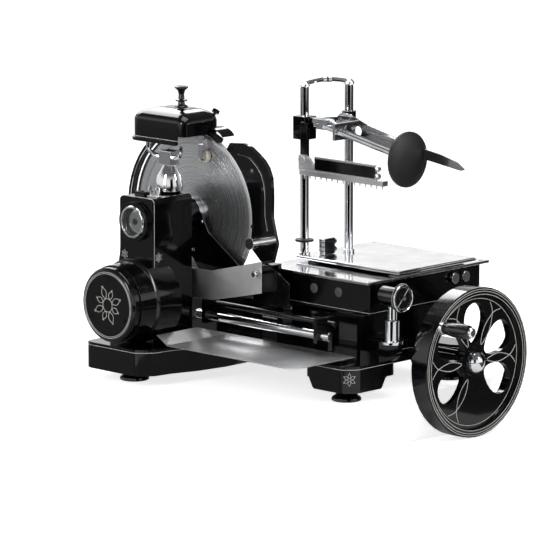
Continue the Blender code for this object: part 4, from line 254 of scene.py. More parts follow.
stone, tree, shader = surface("bonded_grinding_grit", Roughness=0.9)
grit = grain(tree, 0.6, detail=5)
finish(tree, shader, (grit, "b3ada0", "dad5c8"), dents=(grit, 0.15, 1.0))

resin, tree, shader = surface("black_phenolic_resin", Coat_Weight=0.3, Coat_Roughness=0.08)
marks = grain(tree, 3.0, detail=5)
finish(tree, shader, (marks, "08080a", "131315"), (marks, 0.16, 0.3), (marks, 0.03, 0.3))

guard_black, tree, shader = surface("black_moulded_guard")
marks = grain(tree, 0.8, detail=5)
finish(tree, shader, (marks, "0b0b0c", "17171a"), (marks, 0.4, 0.58), (marks, 0.04, 0.5))

# %% [markdown]
# ## Paints
# The lines on the castings were drawn with a fine brush in silver paint. Paint is slightly
# uneven, so its brightness varies along the stroke, and it is less shiny than the plate. The
# same silver paint also draws a few painted highlights along edges of the flywheel, the gauge
# plate and the hood. The plugs in the carriage's side have a dull dark grey paint.

# %% Pinstripe and painted highlight paint, and plug paint
# Silver paint for the pinstripes; the same paint also draws painted highlights on a few edges.
stripe_and_highlight_paint, tree, shader = surface("silver_pinstripe_and_highlight_paint", Metallic=0.1)
strokes = grain(tree, 3.5, detail=4)
finish(tree, shader, (strokes, "c3c1bb", "e9e8e3"), (strokes, 0.3, 0.5))

plug_grey, tree, shader = surface("grey_painted_iron")
marks = grain(tree, 1.2, detail=5)
finish(tree, shader, (marks, "3a3a3c", "4c4c4e"), (marks, 0.4, 0.55), (marks, 0.05, 0.5))
print("made", glass.name, stone.name, resin.name, guard_black.name, stripe_and_highlight_paint.name, plug_grey.name)

FINISHES = {
    "black_enamel": enamel, "polished_steel": sheet_steel, "chrome": chrome,
    "machined_iron": machined_iron, "dark_polished_steel": dark_steel, "sight_glass": glass,
    "grinding_stone": stone, "black_grip": resin, "black_guard": guard_black,
}
SLOT_OF = {made.name: slot for slot, made in FINISHES.items()}
SLOT_OF.update({
    blade_steel.name: "polished_steel", satin_steel.name: "polished_steel",
    stripe_and_highlight_paint.name: "polished_steel", plug_grey.name: "black_enamel",
})

# %% [markdown]
# ## Rounded edges
# A sharp computer edge shows no highlight, and a cast or polished one always does. Each
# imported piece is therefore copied, its doubled corners are merged, flat neighbours are
# joined into one face, and a Bevel modifier rounds the edges by a few tenths of a
# millimetre on polished steel and by a millimetre or two on castings. A Weighted Normal
# modifier then lets the large faces decide how light turns over the edge, so a post or a
# flat side mirrors like a true one along its whole length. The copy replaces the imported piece.

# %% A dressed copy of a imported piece
def plain(piece, name):
    """The evaluated shape of an object as a new plain mesh object."""
    graph = bpy.context.evaluated_depsgraph_get()
    mesh = bpy.data.meshes.new_from_object(piece.evaluated_get(graph), depsgraph=graph)
    made = bpy.data.objects.new(name, mesh)
    scene.collection.objects.link(made)
    bpy.data.objects.remove(piece)
    return made


def shade(mesh, angle):
    """Smooth shading that breaks at edges sharper than the angle."""
    mesh.polygons.foreach_set("use_smooth", [True] * len(mesh.polygons))
    mesh.set_sharp_from_angle(angle=math.radians(angle))


def settle(piece, body, paint=None):
    """Give a finished piece its paint and let it ride on its body."""
    if paint:
        piece.data.materials.clear()
        piece.data.materials.append(paint)
    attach(piece, body)
    return piece


def dress(node, paint, width_mm, steps=2, angle=34):
    """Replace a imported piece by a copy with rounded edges."""
    mesh = frame["nodes"][node].data.copy()
    shape = bmesh.new()
    shape.from_mesh(mesh)
    bmesh.ops.remove_doubles(shape, verts=shape.verts, dist=0.01 * MM)
    bmesh.ops.dissolve_limit(shape, angle_limit=math.radians(0.6), verts=shape.verts, edges=shape.edges)
    shape.to_mesh(mesh)
    shape.free()
    shade(mesh, angle)
    rough = bpy.data.objects.new(node + "_rough", mesh)
    scene.collection.objects.link(rough)
    round_off = rough.modifiers.new("round", "BEVEL")
    round_off.width = width_mm * MM
    round_off.segments = steps
    round_off.limit_method = "ANGLE"
    round_off.angle_limit = math.radians(angle)
    round_off.use_clamp_overlap = True
    round_off.miter_outer = "MITER_ARC"
    even = rough.modifiers.new("even", "WEIGHTED_NORMAL")
    even.keep_sharp = True
    piece = plain(rough, node + "_dressed")
    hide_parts(node)
    return settle(piece, body_of_node[node], paint)


# %% [markdown]
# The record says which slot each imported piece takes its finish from. The list below only
# names how far each edge is rounded, and the few pieces whose finish differs from the slot.

# %% Dress every piece
ROUND_MM = {
    "base_casting": 2.2, "column_casting": 1.6, "drive_housing": 1.4, "drive_cover": 1.0,
    "sharpener_hood": 0.8, "flywheel": 1.4, "carriage_body": 1.2, "press_head": 1.4, "gauge_plate": 1.8,
    "blade_boss": 1.0, "guard_ring": 0.8, "feed_table": 1.6, "deck_plate": 0.8, "slice_tray": 0.5,
    "catch_plate": 0.4, "deflector_leaf": 0.5, "side_plate": 0.5, "lever_plate": 0.6, "blade": 0.15,
    "toothed_bar": 0.5, "guard_disc": 0.8, "sharpener_bell": 0.6,
}
SPECIAL = {
    "blade": blade_steel, "thickness_dial": dark_steel, "slice_tray": satin_steel,
    "catch_plate": satin_steel, "toothed_bar": satin_steel,
}
slot_of_node = {s["node"]: s["material_slot"] for s in frame["record"]["subparts"]}
LATER = {"drive_chain", "feed_screw"}
dressed = {}
for node in sorted(frame["nodes"]):
    if node in LATER:
        continue
    paint = SPECIAL.get(node, FINISHES[slot_of_node[node]])
    dressed[node] = dress(node, paint, ROUND_MM.get(node, 0.4))
print("dressed", len(dressed), "pieces,", sum(len(p.data.polygons) for p in dressed.values()), "faces")

# %% [markdown]
# ## Tools made with Geometry Nodes
# Lines, rivets, screws, links and threads repeat, so each gets one Geometry Nodes tree with
# its sizes as named inputs. The first helper builds a tree from a short recipe. The second
# runs it on a mesh of points or edges and keeps the result as a plain mesh.

# %% Helpers for Geometry Nodes
KINDS = {float: "NodeSocketFloat", int: "NodeSocketInt"}


def node_tool(name, sizes, recipe):
    """A tree that ends in Realize Instances and Set Material."""
    tree = bpy.data.node_groups.new(name, "GeometryNodeTree")
    tree.interface.new_socket("Geometry", in_out="INPUT", socket_type="NodeSocketGeometry")
    for label, value in sizes.items():
        socket = tree.interface.new_socket(label, in_out="INPUT", socket_type=KINDS[type(value)])
        socket.default_value = value
    tree.interface.new_socket("Paint", in_out="INPUT", socket_type="NodeSocketMaterial")
    tree.interface.new_socket("Geometry", in_out="OUTPUT", socket_type="NodeSocketGeometry")
    start = add(tree, "NodeGroupInput").outputs
    real = add(tree, "GeometryNodeRealizeInstances", {0: recipe(tree, start)})
    done = add(tree, "GeometryNodeSetMaterial", {"Geometry": real, "Material": start["Paint"]})
    add(tree, "NodeGroupOutput", {0: done})
    return tree


def run(name, tree, base, body, paint, angle=40, **sizes):
    """Run a tree on a mesh and settle the plain result on a body."""
    rough = bpy.data.objects.new(name + "_rough", base)
    scene.collection.objects.link(rough)
    tool = rough.modifiers.new("tool", "NODES")
    tool.node_group = tree
    values = {**sizes, "Paint": paint}
    for item in tree.interface.items_tree:
        if item.in_out == "INPUT" and item.name in values:
            tool[item.identifier] = values[item.name]
    piece = plain(rough, name)
    shade(piece.data, angle)
    return settle(piece, body, paint)


def edges(name, paths, closed=False):
    """A mesh of edges only, one run for each path."""
    verts, lines = [], []
    for path in paths:
        first = len(verts)
        verts += [tuple(p) for p in path]
        lines += [(k, k + 1) for k in range(first, len(verts) - 1)]
        if closed:
            lines.append((len(verts) - 1, first))
    mesh = bpy.data.meshes.new(name)
    mesh.from_pydata(verts, lines, [])
    return mesh


def spots(name, places):
    """A mesh of points only. Each carries the direction that it faces."""
    mesh = bpy.data.meshes.new(name)
    mesh.from_pydata([tuple(place) for place, _ in places], [], [])
    facing = mesh.attributes.new("facing", "FLOAT_VECTOR", "POINT")
    for item, (_, way) in zip(facing.data, places):
        item.vector = way
    return mesh


# %% [markdown]
# ### A brushed line
# A pinstripe is a thin raised thread of paint. The tree turns edges into a curve and sweeps a
# small circle along it, half sunk in the surface. The same tree draws polished beads and rods
# when it gets a larger radius.

# %% The line tool
def sweep_bar(tree, path, sides, radius):
    """A round bar along a curve, with closed ends."""
    ring = add(tree, "GeometryNodeCurvePrimitiveCircle", {"Resolution": sides, "Radius": radius})
    facts = {"Curve": path, "Profile Curve": ring, "Fill Caps": True}
    return add(tree, "GeometryNodeCurveToMesh", facts)


def line_recipe(tree, start):
    path = add(tree, "GeometryNodeMeshToCurve", {"Mesh": start["Geometry"]})
    return sweep_bar(tree, path, start["Sides"], start["Radius"])


line_tool = node_tool("brushed_line", {"Radius": 0.0005, "Sides": 6}, line_recipe)


def draw(name, paths, body, paint=stripe_and_highlight_paint, closed=False, **sizes):
    """Sweep a painted line or a bar along each path."""
    return run(name, line_tool, edges(name, paths, closed), body, paint, **sizes)


def circle(centre, radius, axis, count=72, start=0, end=360):
    """Points on a circle about a line along X, Y or Z through the centre."""
    points = []
    for k in range(count if end - start == 360 else count + 1):
        turn = math.radians(start + (end - start) * k / count)
        a, b = radius * math.cos(turn), radius * math.sin(turn)
        shift = {"X": (0, a, b), "Y": (a, 0, b), "Z": (a, b, 0)}[axis]
        points.append(Vector(centre) + Vector(shift))
    return points


# %% [markdown]
# ## The flywheel's pinstripes and painted edge highlight
# The wheel carries silver rings on its rim and a pair of crossing strokes on each spoke. The
# outermost rim ring, on the rim's front edge, is a painted highlight of that edge. The strokes
# are one sine wave each, mirrored: they swell apart along the spoke, cross near its outer end
# and run on as short tails, as a sign painter's hand would.

# %% Flywheel pinstripes and painted edge highlight
WHEEL = Vector((0.195, -0.518, 0.052))
WEB = WHEEL + Vector((0, 8 * MM, 0))
# The first rim ring, on the rim's front edge, is a painted highlight of that edge; the others are
# pinstripes.
RIM_RINGS_AND_EDGE_HIGHLIGHT_MM = (132.6, 128.6, 123.4)
WEB_RING_MM = 115
SPOKES = (0, 60, 120, 180, 240)
STROKE_START_MM, STROKE_LENGTH_MM, STROKE_SWELL_MM = 31, 64, 7.6
rings = [circle(WHEEL, r * MM, "Y") for r in RIM_RINGS_AND_EDGE_HIGHLIGHT_MM]
rings.append(circle(WEB, WEB_RING_MM * MM, "Y"))
draw("flywheel_rings_and_edge_highlight", rings, "flywheel", closed=True, Radius=0.55 * MM)
strokes = []
for spoke in SPOKES:
    along = Vector((math.cos(math.radians(spoke)), 0, math.sin(math.radians(spoke))))
    across = Vector((-along.z, 0, along.x))
    for side in (-STROKE_SWELL_MM, STROKE_SWELL_MM):
        steps = [k / 20 for k in range(1, 26)]
        strokes.append([
            WEB + along * (STROKE_START_MM + STROKE_LENGTH_MM * t) * MM
            + across * side * MM * math.sin(math.pi * t) * (1 + 8 * max(0, t - 1)) for t in steps
        ])
draw("flywheel_strokes", strokes, "flywheel", Radius=0.7 * MM)
print("flywheel has", len(rings), "rings and", len(strokes), "strokes")

# %% [markdown]
# ## The drum cover's ornament
# A plain rosette of eight leaves sits in the middle of the drum's cover, inside two silver
# rings. Each leaf is again a pair of mirrored sine strokes.

# %% Drum cover
cover_low, cover_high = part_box("drive_cover")
COVER = Vector((cover_low.x, (cover_low.y + cover_high.y) / 2, (cover_low.z + cover_high.z) / 2))
COVER_RINGS_MM = (60.0, 57.4, 12.0)
COVER_LEAVES_MM = ((17, 5), (22, 6))
COVER_SCREWS_MM = 48
rings = [circle(COVER, r * MM, "X") for r in COVER_RINGS_MM]
draw("cover_rings", rings, "stand", closed=True, Radius=0.42 * MM)


def leaf_paths(centre, right, up, count, inner_mm, sizes):
    """Leaves around a centre, each a pair of mirrored sine strokes. Sizes are (length, width)."""
    paths = []
    for k in range(count):
        turn = math.tau * (k + 0.5) / count
        along = right * math.cos(turn) + up * math.sin(turn)
        across = up * math.cos(turn) - right * math.sin(turn)
        reach, swell = sizes[k % len(sizes)]
        for side in (-1, 1):
            paths.append([
                centre + along * (inner_mm + reach * t / 20) * MM
                + across * side * swell * MM * math.sin(math.pi * t / 20) for t in range(23)
            ])
    return paths


leaves = leaf_paths(COVER, Vector((0, 1, 0)), Vector(UP), 8, 12, COVER_LEAVES_MM)
draw("cover_rosette", leaves, "stand", Radius=0.42 * MM)
print("cover centre", [round(c, 4) for c in COVER])

# %% [markdown]
# ## Stripes that follow the castings
# On the stand the stripes run a few millimetres from the edges. Instead of typing their
# points, a copy of the casting is cut by a plane, and the longest loop of the cut is the
# path. The line then lies on the surface wherever the casting bends.

# %% Lines cut from the castings
def loops(node, place, normal):
    """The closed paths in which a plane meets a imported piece, the longest first."""
    shape = bmesh.new()
    shape.from_mesh(frame["nodes"][node].data)
    bmesh.ops.remove_doubles(shape, verts=shape.verts, dist=0.01 * MM)
    whole = shape.verts[:] + shape.edges[:] + shape.faces[:]
    cut = bmesh.ops.bisect_plane(shape, geom=whole, plane_co=place, plane_no=normal, dist=1e-6)
    near = {}
    for edge in (e for e in cut["geom_cut"] if isinstance(e, bmesh.types.BMEdge)):
        a, b = edge.verts
        near.setdefault(a, []).append(b)
        near.setdefault(b, []).append(a)
    paths = []
    left = set(near)
    while left:
        point = next(v for v in near if v in left)
        path = [point]
        left.discard(point)
        while True:
            ahead = [v for v in near[path[-1]] if v in left]
            if not ahead:
                break
            path.append(ahead[0])
            left.discard(ahead[0])
        paths.append([v.co.copy() for v in path])
    shape.free()
    return sorted(paths, key=lambda p: -sum((a - b).length for a, b in zip(p, p[1:])))


def follow(name, node, place, normal, body, radius_mm=0.45, paint=stripe_and_highlight_paint):
    """Draw a line where a plane meets a casting."""
    longest = loops(node, place, normal)[:1]
    return draw(name, longest, body, paint, closed=True, Radius=radius_mm * MM)


follow("base_stripe", "base_casting", (0, 0, 0.0625), UP, "stand")
follow("column_left_stripe", "column_casting", (-0.1455, 0, 0), RIGHT, "stand")
hood_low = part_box("sharpener_hood")[0]
follow("hood_stripe", "sharpener_hood", (0, 0, hood_low.z + 8 * MM), UP, "stand", radius_mm=0.6)
follow("carriage_stripe", "carriage_body", (0, 0, 0.149), UP, "carriage", radius_mm=0.35)
print("stripes follow the base, the column, the hood and the carriage")

# %% [markdown]
# ### Screws and rivets
# Slotted screws and domed rivets hold the plates. One tree makes a round head with a slot cut
# by a boolean, the other a flattened ball. Both put a copy on every point, turned to the
# direction stored in the point's "facing".

# %% The screw tool and the rivet tool
def place_copies(tree, start, head):
    """Put copies of a head on the points, each with its Z along the stored direction."""
    way = add(tree, "GeometryNodeInputNamedAttribute", {"Name": "facing"}, data_type="FLOAT_VECTOR")
    turn = add(tree, "FunctionNodeAlignRotationToVector", {"Vector": way}, axis="Z")
    facts = {"Points": start["Geometry"], "Instance": head, "Rotation": turn}
    return add(tree, "GeometryNodeInstanceOnPoints", facts)


def screw_recipe(tree, start):
    radius, height = start["Radius"], start["Height"]
    head = add(tree, "GeometryNodeMeshCylinder", {"Vertices": 20, "Radius": radius, "Depth": height})
    slot_long = add(tree, "ShaderNodeMath", {0: radius, 1: 2.4}, operation="MULTIPLY")
    slot_wide = add(tree, "ShaderNodeMath", {0: radius, 1: 0.3}, operation="MULTIPLY")
    size = add(tree, "ShaderNodeCombineXYZ", {"X": slot_long, "Y": slot_wide, "Z": height})
    bar = add(tree, "GeometryNodeMeshCube", {"Size": size})
    rise = add(tree, "ShaderNodeMath", {0: height, 1: 0.7}, operation="MULTIPLY")
    lift = add(tree, "ShaderNodeCombineXYZ", {"Z": rise})
    raised = add(tree, "GeometryNodeTransform", {"Geometry": bar, "Translation": lift})
    cut = add(tree, "GeometryNodeMeshBoolean", {0: head, 1: raised}, operation="DIFFERENCE")
    return place_copies(tree, start, cut)


def rivet_recipe(tree, start):
    facts = {"Segments": start["Sides"], "Rings": 8, "Radius": start["Radius"]}
    dome = add(tree, "GeometryNodeMeshUVSphere", facts)
    flat = add(tree, "ShaderNodeCombineXYZ", {"X": 1.0, "Y": 1.0, "Z": start["Flatness"]})
    pressed = add(tree, "GeometryNodeTransform", {"Geometry": dome, "Scale": flat})
    return place_copies(tree, start, pressed)


screw_tool = node_tool("slotted_screw", {"Radius": 0.004, "Height": 0.002}, screw_recipe)
rivet_tool = node_tool("domed_rivet", {"Radius": 0.004, "Flatness": 0.5, "Sides": 18}, rivet_recipe)


def stud(name, tool, places, body, paint=chrome, **sizes):
    """Put a tool's form on each place. A place is a point and the way that it faces."""
    return run(name, tool, spots(name, places), body, paint, **sizes)


def by_blade(x, forward, up):
    """A point in blade radii in front of the blade's shaft and above it."""
    return Vector((x, -forward * BLADE_RADIUS, BLADE_CENTRE[2] + up * BLADE_RADIUS))


# %% Screws and rivets
leaf_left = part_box("deflector_leaf")[0].x
places = [(by_blade(leaf_left, *at), LEFT) for at in ((0.03, -0.20), (0.25, -0.08), (0.10, -0.44))]
stud("leaf_rivets", rivet_tool, places, "stand", Radius=3.2 * MM, Flatness=0.55)
gauge_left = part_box("gauge_plate")[0].x
places = [(by_blade(gauge_left, *at), LEFT) for at in ((1.02, 0.62), (1.02, -0.06), (1.2, 0.42))]
stud("gauge_screws", screw_tool, places, "gauge", Radius=3.4 * MM, Height=1.6 * MM)
deck_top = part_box("deck_plate")[1].z
places = [((x, y, deck_top), UP) for x in (0.032, 0.333) for y in (-0.160, -0.402)]
stud("deck_screws", screw_tool, places, "carriage", Radius=4 * MM, Height=1.2 * MM)
carriage_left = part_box("carriage_body")[0].x
places = [((carriage_left, y, 0.178), LEFT) for y in (-0.272, -0.332)]
stud("carriage_plugs", rivet_tool, places, "carriage", plug_grey, Radius=9 * MM, Flatness=0.12, Sides=40)
table_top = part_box("feed_table")[1].z
places = [((x, y, table_top), UP) for x in (0.108, 0.291) for y in (-0.176, -0.404)]
stud("table_screws", screw_tool, places, "table", Radius=3 * MM, Height=0.9 * MM)
holes = circle(COVER + Vector((1 * MM, 0, 0)), COVER_SCREWS_MM * MM, "X", 3, 90, 450)
places = [(hole, LEFT) for hole in holes]
stud("cover_screws", screw_tool, places, "stand", enamel, Radius=3.2 * MM, Height=3.0 * MM)
tray_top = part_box("slice_tray")[1].z
print("screws and rivets placed; table top at", round(table_top, 4), "tray top at", round(tray_top, 4))

# %% [markdown]
# ### Chain links and screw threads
# The drive chain and the feed screw repeat one small form many times. The chain tree walks
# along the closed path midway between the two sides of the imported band, and sets one link, a
# roller between two plates, at every pitch. The thread tree winds a ridge about a core with
# a lead of 5 mm, which is how far one turn of the screw moves the table.

# %% The chain tool and the thread tool
def chain_recipe(tree, start):
    pitch, width, height = start["Pitch"], start["Width"], start["Height"]
    path = add(tree, "GeometryNodeMeshToCurve", {"Mesh": start["Geometry"]})
    even = add(tree, "GeometryNodeResampleCurve", {"Curve": path, "Length": pitch}, mode="LENGTH")
    link = add(tree, "GeometryNodeJoinGeometry")
    long = add(tree, "ShaderNodeMath", {0: width, 1: 0.7}, operation="MULTIPLY")
    round_off = add(tree, "ShaderNodeMath", {0: height, 1: 0.45}, operation="MULTIPLY")
    pin = add(tree, "GeometryNodeMeshCylinder", {"Vertices": 12, "Radius": round_off, "Depth": long})
    laid = add(tree, "GeometryNodeTransform", {"Geometry": pin, "Rotation": (0, math.pi / 2, 0)})
    tree.links.new(laid.outputs[0], link.inputs[0])
    reach = add(tree, "ShaderNodeMath", {0: pitch, 1: 1.2}, operation="MULTIPLY")
    thin = add(tree, "ShaderNodeMath", {0: width, 1: 0.14}, operation="MULTIPLY")
    size = add(tree, "ShaderNodeCombineXYZ", {"X": thin, "Y": reach, "Z": height})
    plate = add(tree, "GeometryNodeMeshCube", {"Size": size})
    for side in (-0.42, 0.42):
        aside = add(tree, "ShaderNodeMath", {0: width, 1: side}, operation="MULTIPLY")
        shift = add(tree, "ShaderNodeCombineXYZ", {"X": aside})
        beside = add(tree, "GeometryNodeTransform", {"Geometry": plate, "Translation": shift})
        tree.links.new(beside.outputs[0], link.inputs[0])
    way = add(tree, "GeometryNodeInputTangent")
    turn = add(tree, "FunctionNodeAlignRotationToVector", {"Vector": way}, axis="Y")
    return add(tree, "GeometryNodeInstanceOnPoints", {"Points": even, "Instance": link, "Rotation": turn})


def thread_recipe(tree, start):
    length, lead = start["Length"], start["Lead"]
    turns = add(tree, "ShaderNodeMath", {0: length, 1: lead}, operation="DIVIDE")
    ridge = add(tree, "ShaderNodeMath", {0: lead, 1: 0.22}, operation="MULTIPLY")
    root = add(tree, "ShaderNodeMath", {0: start["Radius"], 1: ridge}, operation="SUBTRACT")
    facts = {"Resolution": 14, "Rotations": turns, "Start Radius": root, "End Radius": root}
    wound = add(tree, "GeometryNodeCurveSpiral", {**facts, "Height": length})
    core = add(tree, "GeometryNodeMeshCylinder", {"Vertices": 24, "Radius": root, "Depth": length})
    half = add(tree, "ShaderNodeMath", {0: length, 1: 0.5}, operation="MULTIPLY")
    lift = add(tree, "ShaderNodeCombineXYZ", {"Z": half})
    raised = add(tree, "GeometryNodeTransform", {"Geometry": core, "Translation": lift})
    both = add(tree, "GeometryNodeJoinGeometry")
    for part in (sweep_bar(tree, wound, 5, ridge), raised):
        tree.links.new(part.outputs[0], both.inputs[0])
    return place_copies(tree, start, both)


chain_tool = node_tool("roller_chain", {"Pitch": 0.008, "Width": 0.005, "Height": 0.004}, chain_recipe)
thread_tool = node_tool("screw_thread", {"Radius": 0.007, "Lead": 0.005, "Length": 0.2}, thread_recipe)

# %% Chain and feed screw
LINK_PITCH = 8 * MM
SCREW_LEAD = 5 * MM
chain_low, chain_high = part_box("drive_chain")
middle_x = (chain_low.x + chain_high.x) / 2
outer, inner = loops("drive_chain", (middle_x, 0, 0), RIGHT)[:2]
track = [p.lerp(min(inner, key=lambda q: (p - q).length), 0.5) for p in outer]
chain = run("roller_chain", chain_tool, edges("track", [track], closed=True), body_of_node["drive_chain"],
            machined_iron, Pitch=LINK_PITCH, Width=chain_high.x - chain_low.x, Height=3.6 * MM)
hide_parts("drive_chain")
screw_low, screw_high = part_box("feed_screw")
screw_size = screw_high - screw_low
screw_start = (screw_low.x + 0.5 * MM, (screw_low.y + screw_high.y) / 2, (screw_low.z + screw_high.z) / 2)
screw = stud("feed_thread", thread_tool, [(screw_start, RIGHT)], body_of_node["feed_screw"], machined_iron,
             Radius=screw_size.z / 2, Lead=SCREW_LEAD, Length=screw_size.x - 1 * MM)
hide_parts("feed_screw")
print("chain of", round(sum((a - b).length for a, b in zip(track, track[1:])) / LINK_PITCH), "links")

# %% [markdown]
# ### Knurled knobs
# Small knobs are knurled so that a greasy hand can turn them. The tree rings a disc with thin
# ridges; its height, radius and number of ridges are inputs. The table's clamp has two such
# knobs. The table itself gets beads round its edge, and its crossbar a collar on each side.

# %% The knurl tool
def knurl_recipe(tree, start):
    radius, height = start["Radius"], start["Height"]
    core = add(tree, "GeometryNodeMeshCylinder", {"Vertices": 36, "Radius": radius, "Depth": height})
    around = add(tree, "GeometryNodeMeshCircle", {"Vertices": start["Ridges"], "Radius": radius})
    low = add(tree, "ShaderNodeMath", {0: height, 1: 0.8}, operation="MULTIPLY")
    thin = add(tree, "ShaderNodeMath", {0: radius, 1: 0.06}, operation="MULTIPLY")
    ridge = add(tree, "GeometryNodeMeshCylinder", {"Vertices": 6, "Radius": thin, "Depth": low})
    ridges = add(tree, "GeometryNodeInstanceOnPoints", {"Points": around, "Instance": ridge})
    both = add(tree, "GeometryNodeJoinGeometry")
    for part in (core, ridges):
        tree.links.new(part.outputs[0], both.inputs[0])
    return place_copies(tree, start, both)


knurl_tool = node_tool("knurled_knob", {"Radius": 0.006, "Height": 0.005, "Ridges": 24}, knurl_recipe)

# %% Work on the table and its clamp
BEADS = (("high", 1.5, 1.1, chrome), ("middle", 3.6, 0.9, enamel), ("low", 5.6, 1.1, chrome))
for name, depth, radius, paint in BEADS:
    place = (0, 0, table_top - depth * MM)
    follow("table_bead_" + name, "feed_table", place, UP, "table", radius_mm=radius, paint=paint)
clamp_low, clamp_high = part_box("table_clamp")
for k in range(3):
    place = (0, 0, clamp_low.z + (7 + 8 * k) * MM)
    follow("clamp_groove_" + str(k), "table_clamp", place, UP, "table", radius_mm=0.8, paint=dark_steel)
clamp_y = (clamp_low.y + clamp_high.y) / 2
places = [((clamp_high.x + 2.8 * MM, clamp_y, clamp_low.z + rise * MM), RIGHT) for rise in (8, 22)]
stud("clamp_knobs", knurl_tool, places, "table", Radius=5.6 * MM, Height=6 * MM, Ridges=24)
bar_low, bar_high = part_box("post_crossbar")
bar_middle = Vector(((bar_low.x + bar_high.x) / 2, (bar_low.y + bar_high.y) / 2, bar_high.z - 4 * MM))
bar_way = Vector((0.079, -0.036, 0)).normalized()
collars = [[bar_middle + bar_way * a * MM, bar_middle + bar_way * b * MM] for a, b in ((-8, -2), (2, 8))]
draw("crossbar_collars", collars, "table", chrome, Radius=5.4 * MM, Sides=28)
neck = [[bar_middle - bar_way * 2.2 * MM, bar_middle + bar_way * 2.2 * MM]]
draw("crossbar_joint", neck, "table", dark_steel, Radius=4.8 * MM, Sides=28)
print("table beads, clamp grooves and knobs, crossbar joint")

# %% [markdown]
# The panel above the toothed bar carries a dark polished inlay. The satin steel that is left
# around it reads as a thin frame.

# %% The panel's inlay
def box_mesh(name, low, high, paint):
    """The mesh of a box between two corners."""
    mesh = bpy.data.meshes.new(name)
    shape = bmesh.new()
    bmesh.ops.create_cube(shape, size=1)
    for vert in shape.verts:
        vert.co = [lo + (c + 0.5) * (hi - lo) for c, lo, hi in zip(vert.co, low, high)]
    shape.to_mesh(mesh)
    shape.free()
    mesh.materials.append(paint)
    return mesh


INLAY_BACK, INLAY_NEAR = -0.225, -0.369
INLAY_LOW, INLAY_HIGH = 0.3815, 0.4020
corners = [v.co for v in frame["nodes"]["toothed_bar"].data.vertices]
panel_x = min(c.x for c in corners if c.z > INLAY_HIGH and c.y < INLAY_BACK - 0.02)
inlay_low = (panel_x - 0.4 * MM, INLAY_NEAR, INLAY_LOW)
inlay_high = (panel_x + 0.4 * MM, INLAY_BACK, INLAY_HIGH)
inlay = bpy.data.objects.new("panel_inlay", box_mesh("panel_inlay", inlay_low, inlay_high, dark_steel))
scene.collection.objects.link(inlay)
settle(inlay, "tooth_bar")
print("the inlay stands at x =", round(panel_x, 4))

# %% [markdown]
# ## The thickness dial
# The dial's face is dark and ringed by a bright rim. A bright line crosses it through the
# centre screw, short strokes mark the steps, and the rim is knurled.

# %% Dial
dial_low, dial_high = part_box("thickness_dial")
DIAL = Vector(((dial_low.x + dial_high.x) / 2, dial_low.y + 2.5 * MM, (dial_low.z + dial_high.z) / 2))
DIAL_MARKS = 30
draw("dial_rim", [circle(DIAL, 24.0 * MM, "Y")], "dial", chrome, closed=True, Radius=1.1 * MM, Sides=8)
slant = Vector((math.cos(math.radians(48)), 0, math.sin(math.radians(48))))
face = DIAL + Vector((0, 0.6 * MM, 0))
halves = [[face + slant * a * MM, face + slant * b * MM] for a, b in ((-22, -4.4), (4.4, 22))]
draw("dial_line", halves, "dial", chrome, Radius=0.7 * MM, Sides=8)
marks = []
for k in range(DIAL_MARKS):
    way = Vector((math.cos(math.tau * k / DIAL_MARKS), 0, math.sin(math.tau * k / DIAL_MARKS)))
    marks.append([face + way * 18.5 * MM, face + way * 21.5 * MM])
draw("dial_marks", marks, "dial", Radius=0.22 * MM)
places = [(DIAL - Vector((0, 2.4 * MM, 0)), NEAR)]
stud("dial_screw", screw_tool, places, "dial", Radius=4.6 * MM, Height=1.6 * MM)
places = [(DIAL + Vector((0, 4.0 * MM, 0)), NEAR)]
stud("dial_knurl", knurl_tool, places, "dial", Radius=24.4 * MM, Height=3 * MM, Ridges=90)
print("dial centre", [round(c, 4) for c in DIAL])

# %% [markdown]
# ## Work on the blade's side
# The gauge plate is cast with a step that runs beside its outer edge, and a silver line
# beside the step is a painted highlight along that edge. The ground blade has a fine ring
# where the bevel's grinding starts, and the guard ring a polished inner lip. The small screw
# knob on the hood clamps the stones, and a black sleeve ends the gauge's handle.
# Behind the sight glass lies a polished dish with the nut that one looks at.

# %% Ridge, rings, knobs and dish
STEP = (
    (0.80, 0.80), (0.98, 0.78), (1.10, 0.69), (1.19, 0.59), (1.235, 0.46), (1.25, 0.333), (1.25, 0.10),
    (1.29, -0.08),
)
ridge = [by_blade(gauge_left, *at) for at in STEP]
draw("gauge_step", [ridge], "gauge", enamel, Radius=1.5 * MM, Sides=12)
beside = Vector((0, 2.6 * MM, -1 * MM))
# A silver paint line beside the step: a painted highlight along the plate's edge.
draw("gauge_painted_highlight", [[p + beside for p in ridge]], "gauge", Radius=0.4 * MM)
blade_ring = circle((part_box("blade")[0].x, 0, BLADE_CENTRE[2]), 127 * MM, "X", 120)
draw("blade_ring", [blade_ring], "blade", dark_steel, closed=True, Radius=0.35 * MM)
guard_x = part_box("guard_ring")[1].x - 13 * MM
guard_lip = circle((guard_x, 0, BLADE_CENTRE[2]), 154 * MM, "X", 64, -62, 116)
draw("guard_lip", [guard_lip], "stand", chrome, Radius=0.7 * MM)
handle_low, handle_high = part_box("gauge_handle")
handle_at = Vector((handle_low.x, (handle_low.y + handle_high.y) / 2, (handle_low.z + handle_high.z) / 2))
sleeve = [handle_at - Vector((0.6 * MM, 0, 0)), handle_at + Vector((12 * MM, 0, 0))]
draw("handle_sleeve", [sleeve], "gauge", resin, Radius=9.6 * MM, Sides=36)
knob_at = Vector((0.014, -0.040, 0.476))
knob_way = Vector((0.55, -0.1, 0.83)).normalized()
stem = [knob_at - knob_way * 16 * MM, knob_at]
draw("hood_knob_stem", [stem], "stand", enamel, Radius=2.8 * MM, Sides=16)
knob = [(knob_at, knob_way)]
stud("hood_knob", knurl_tool, knob, "stand", enamel, Radius=6.5 * MM, Height=7 * MM, Ridges=18)
glass_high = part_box("sight_glass")[1]
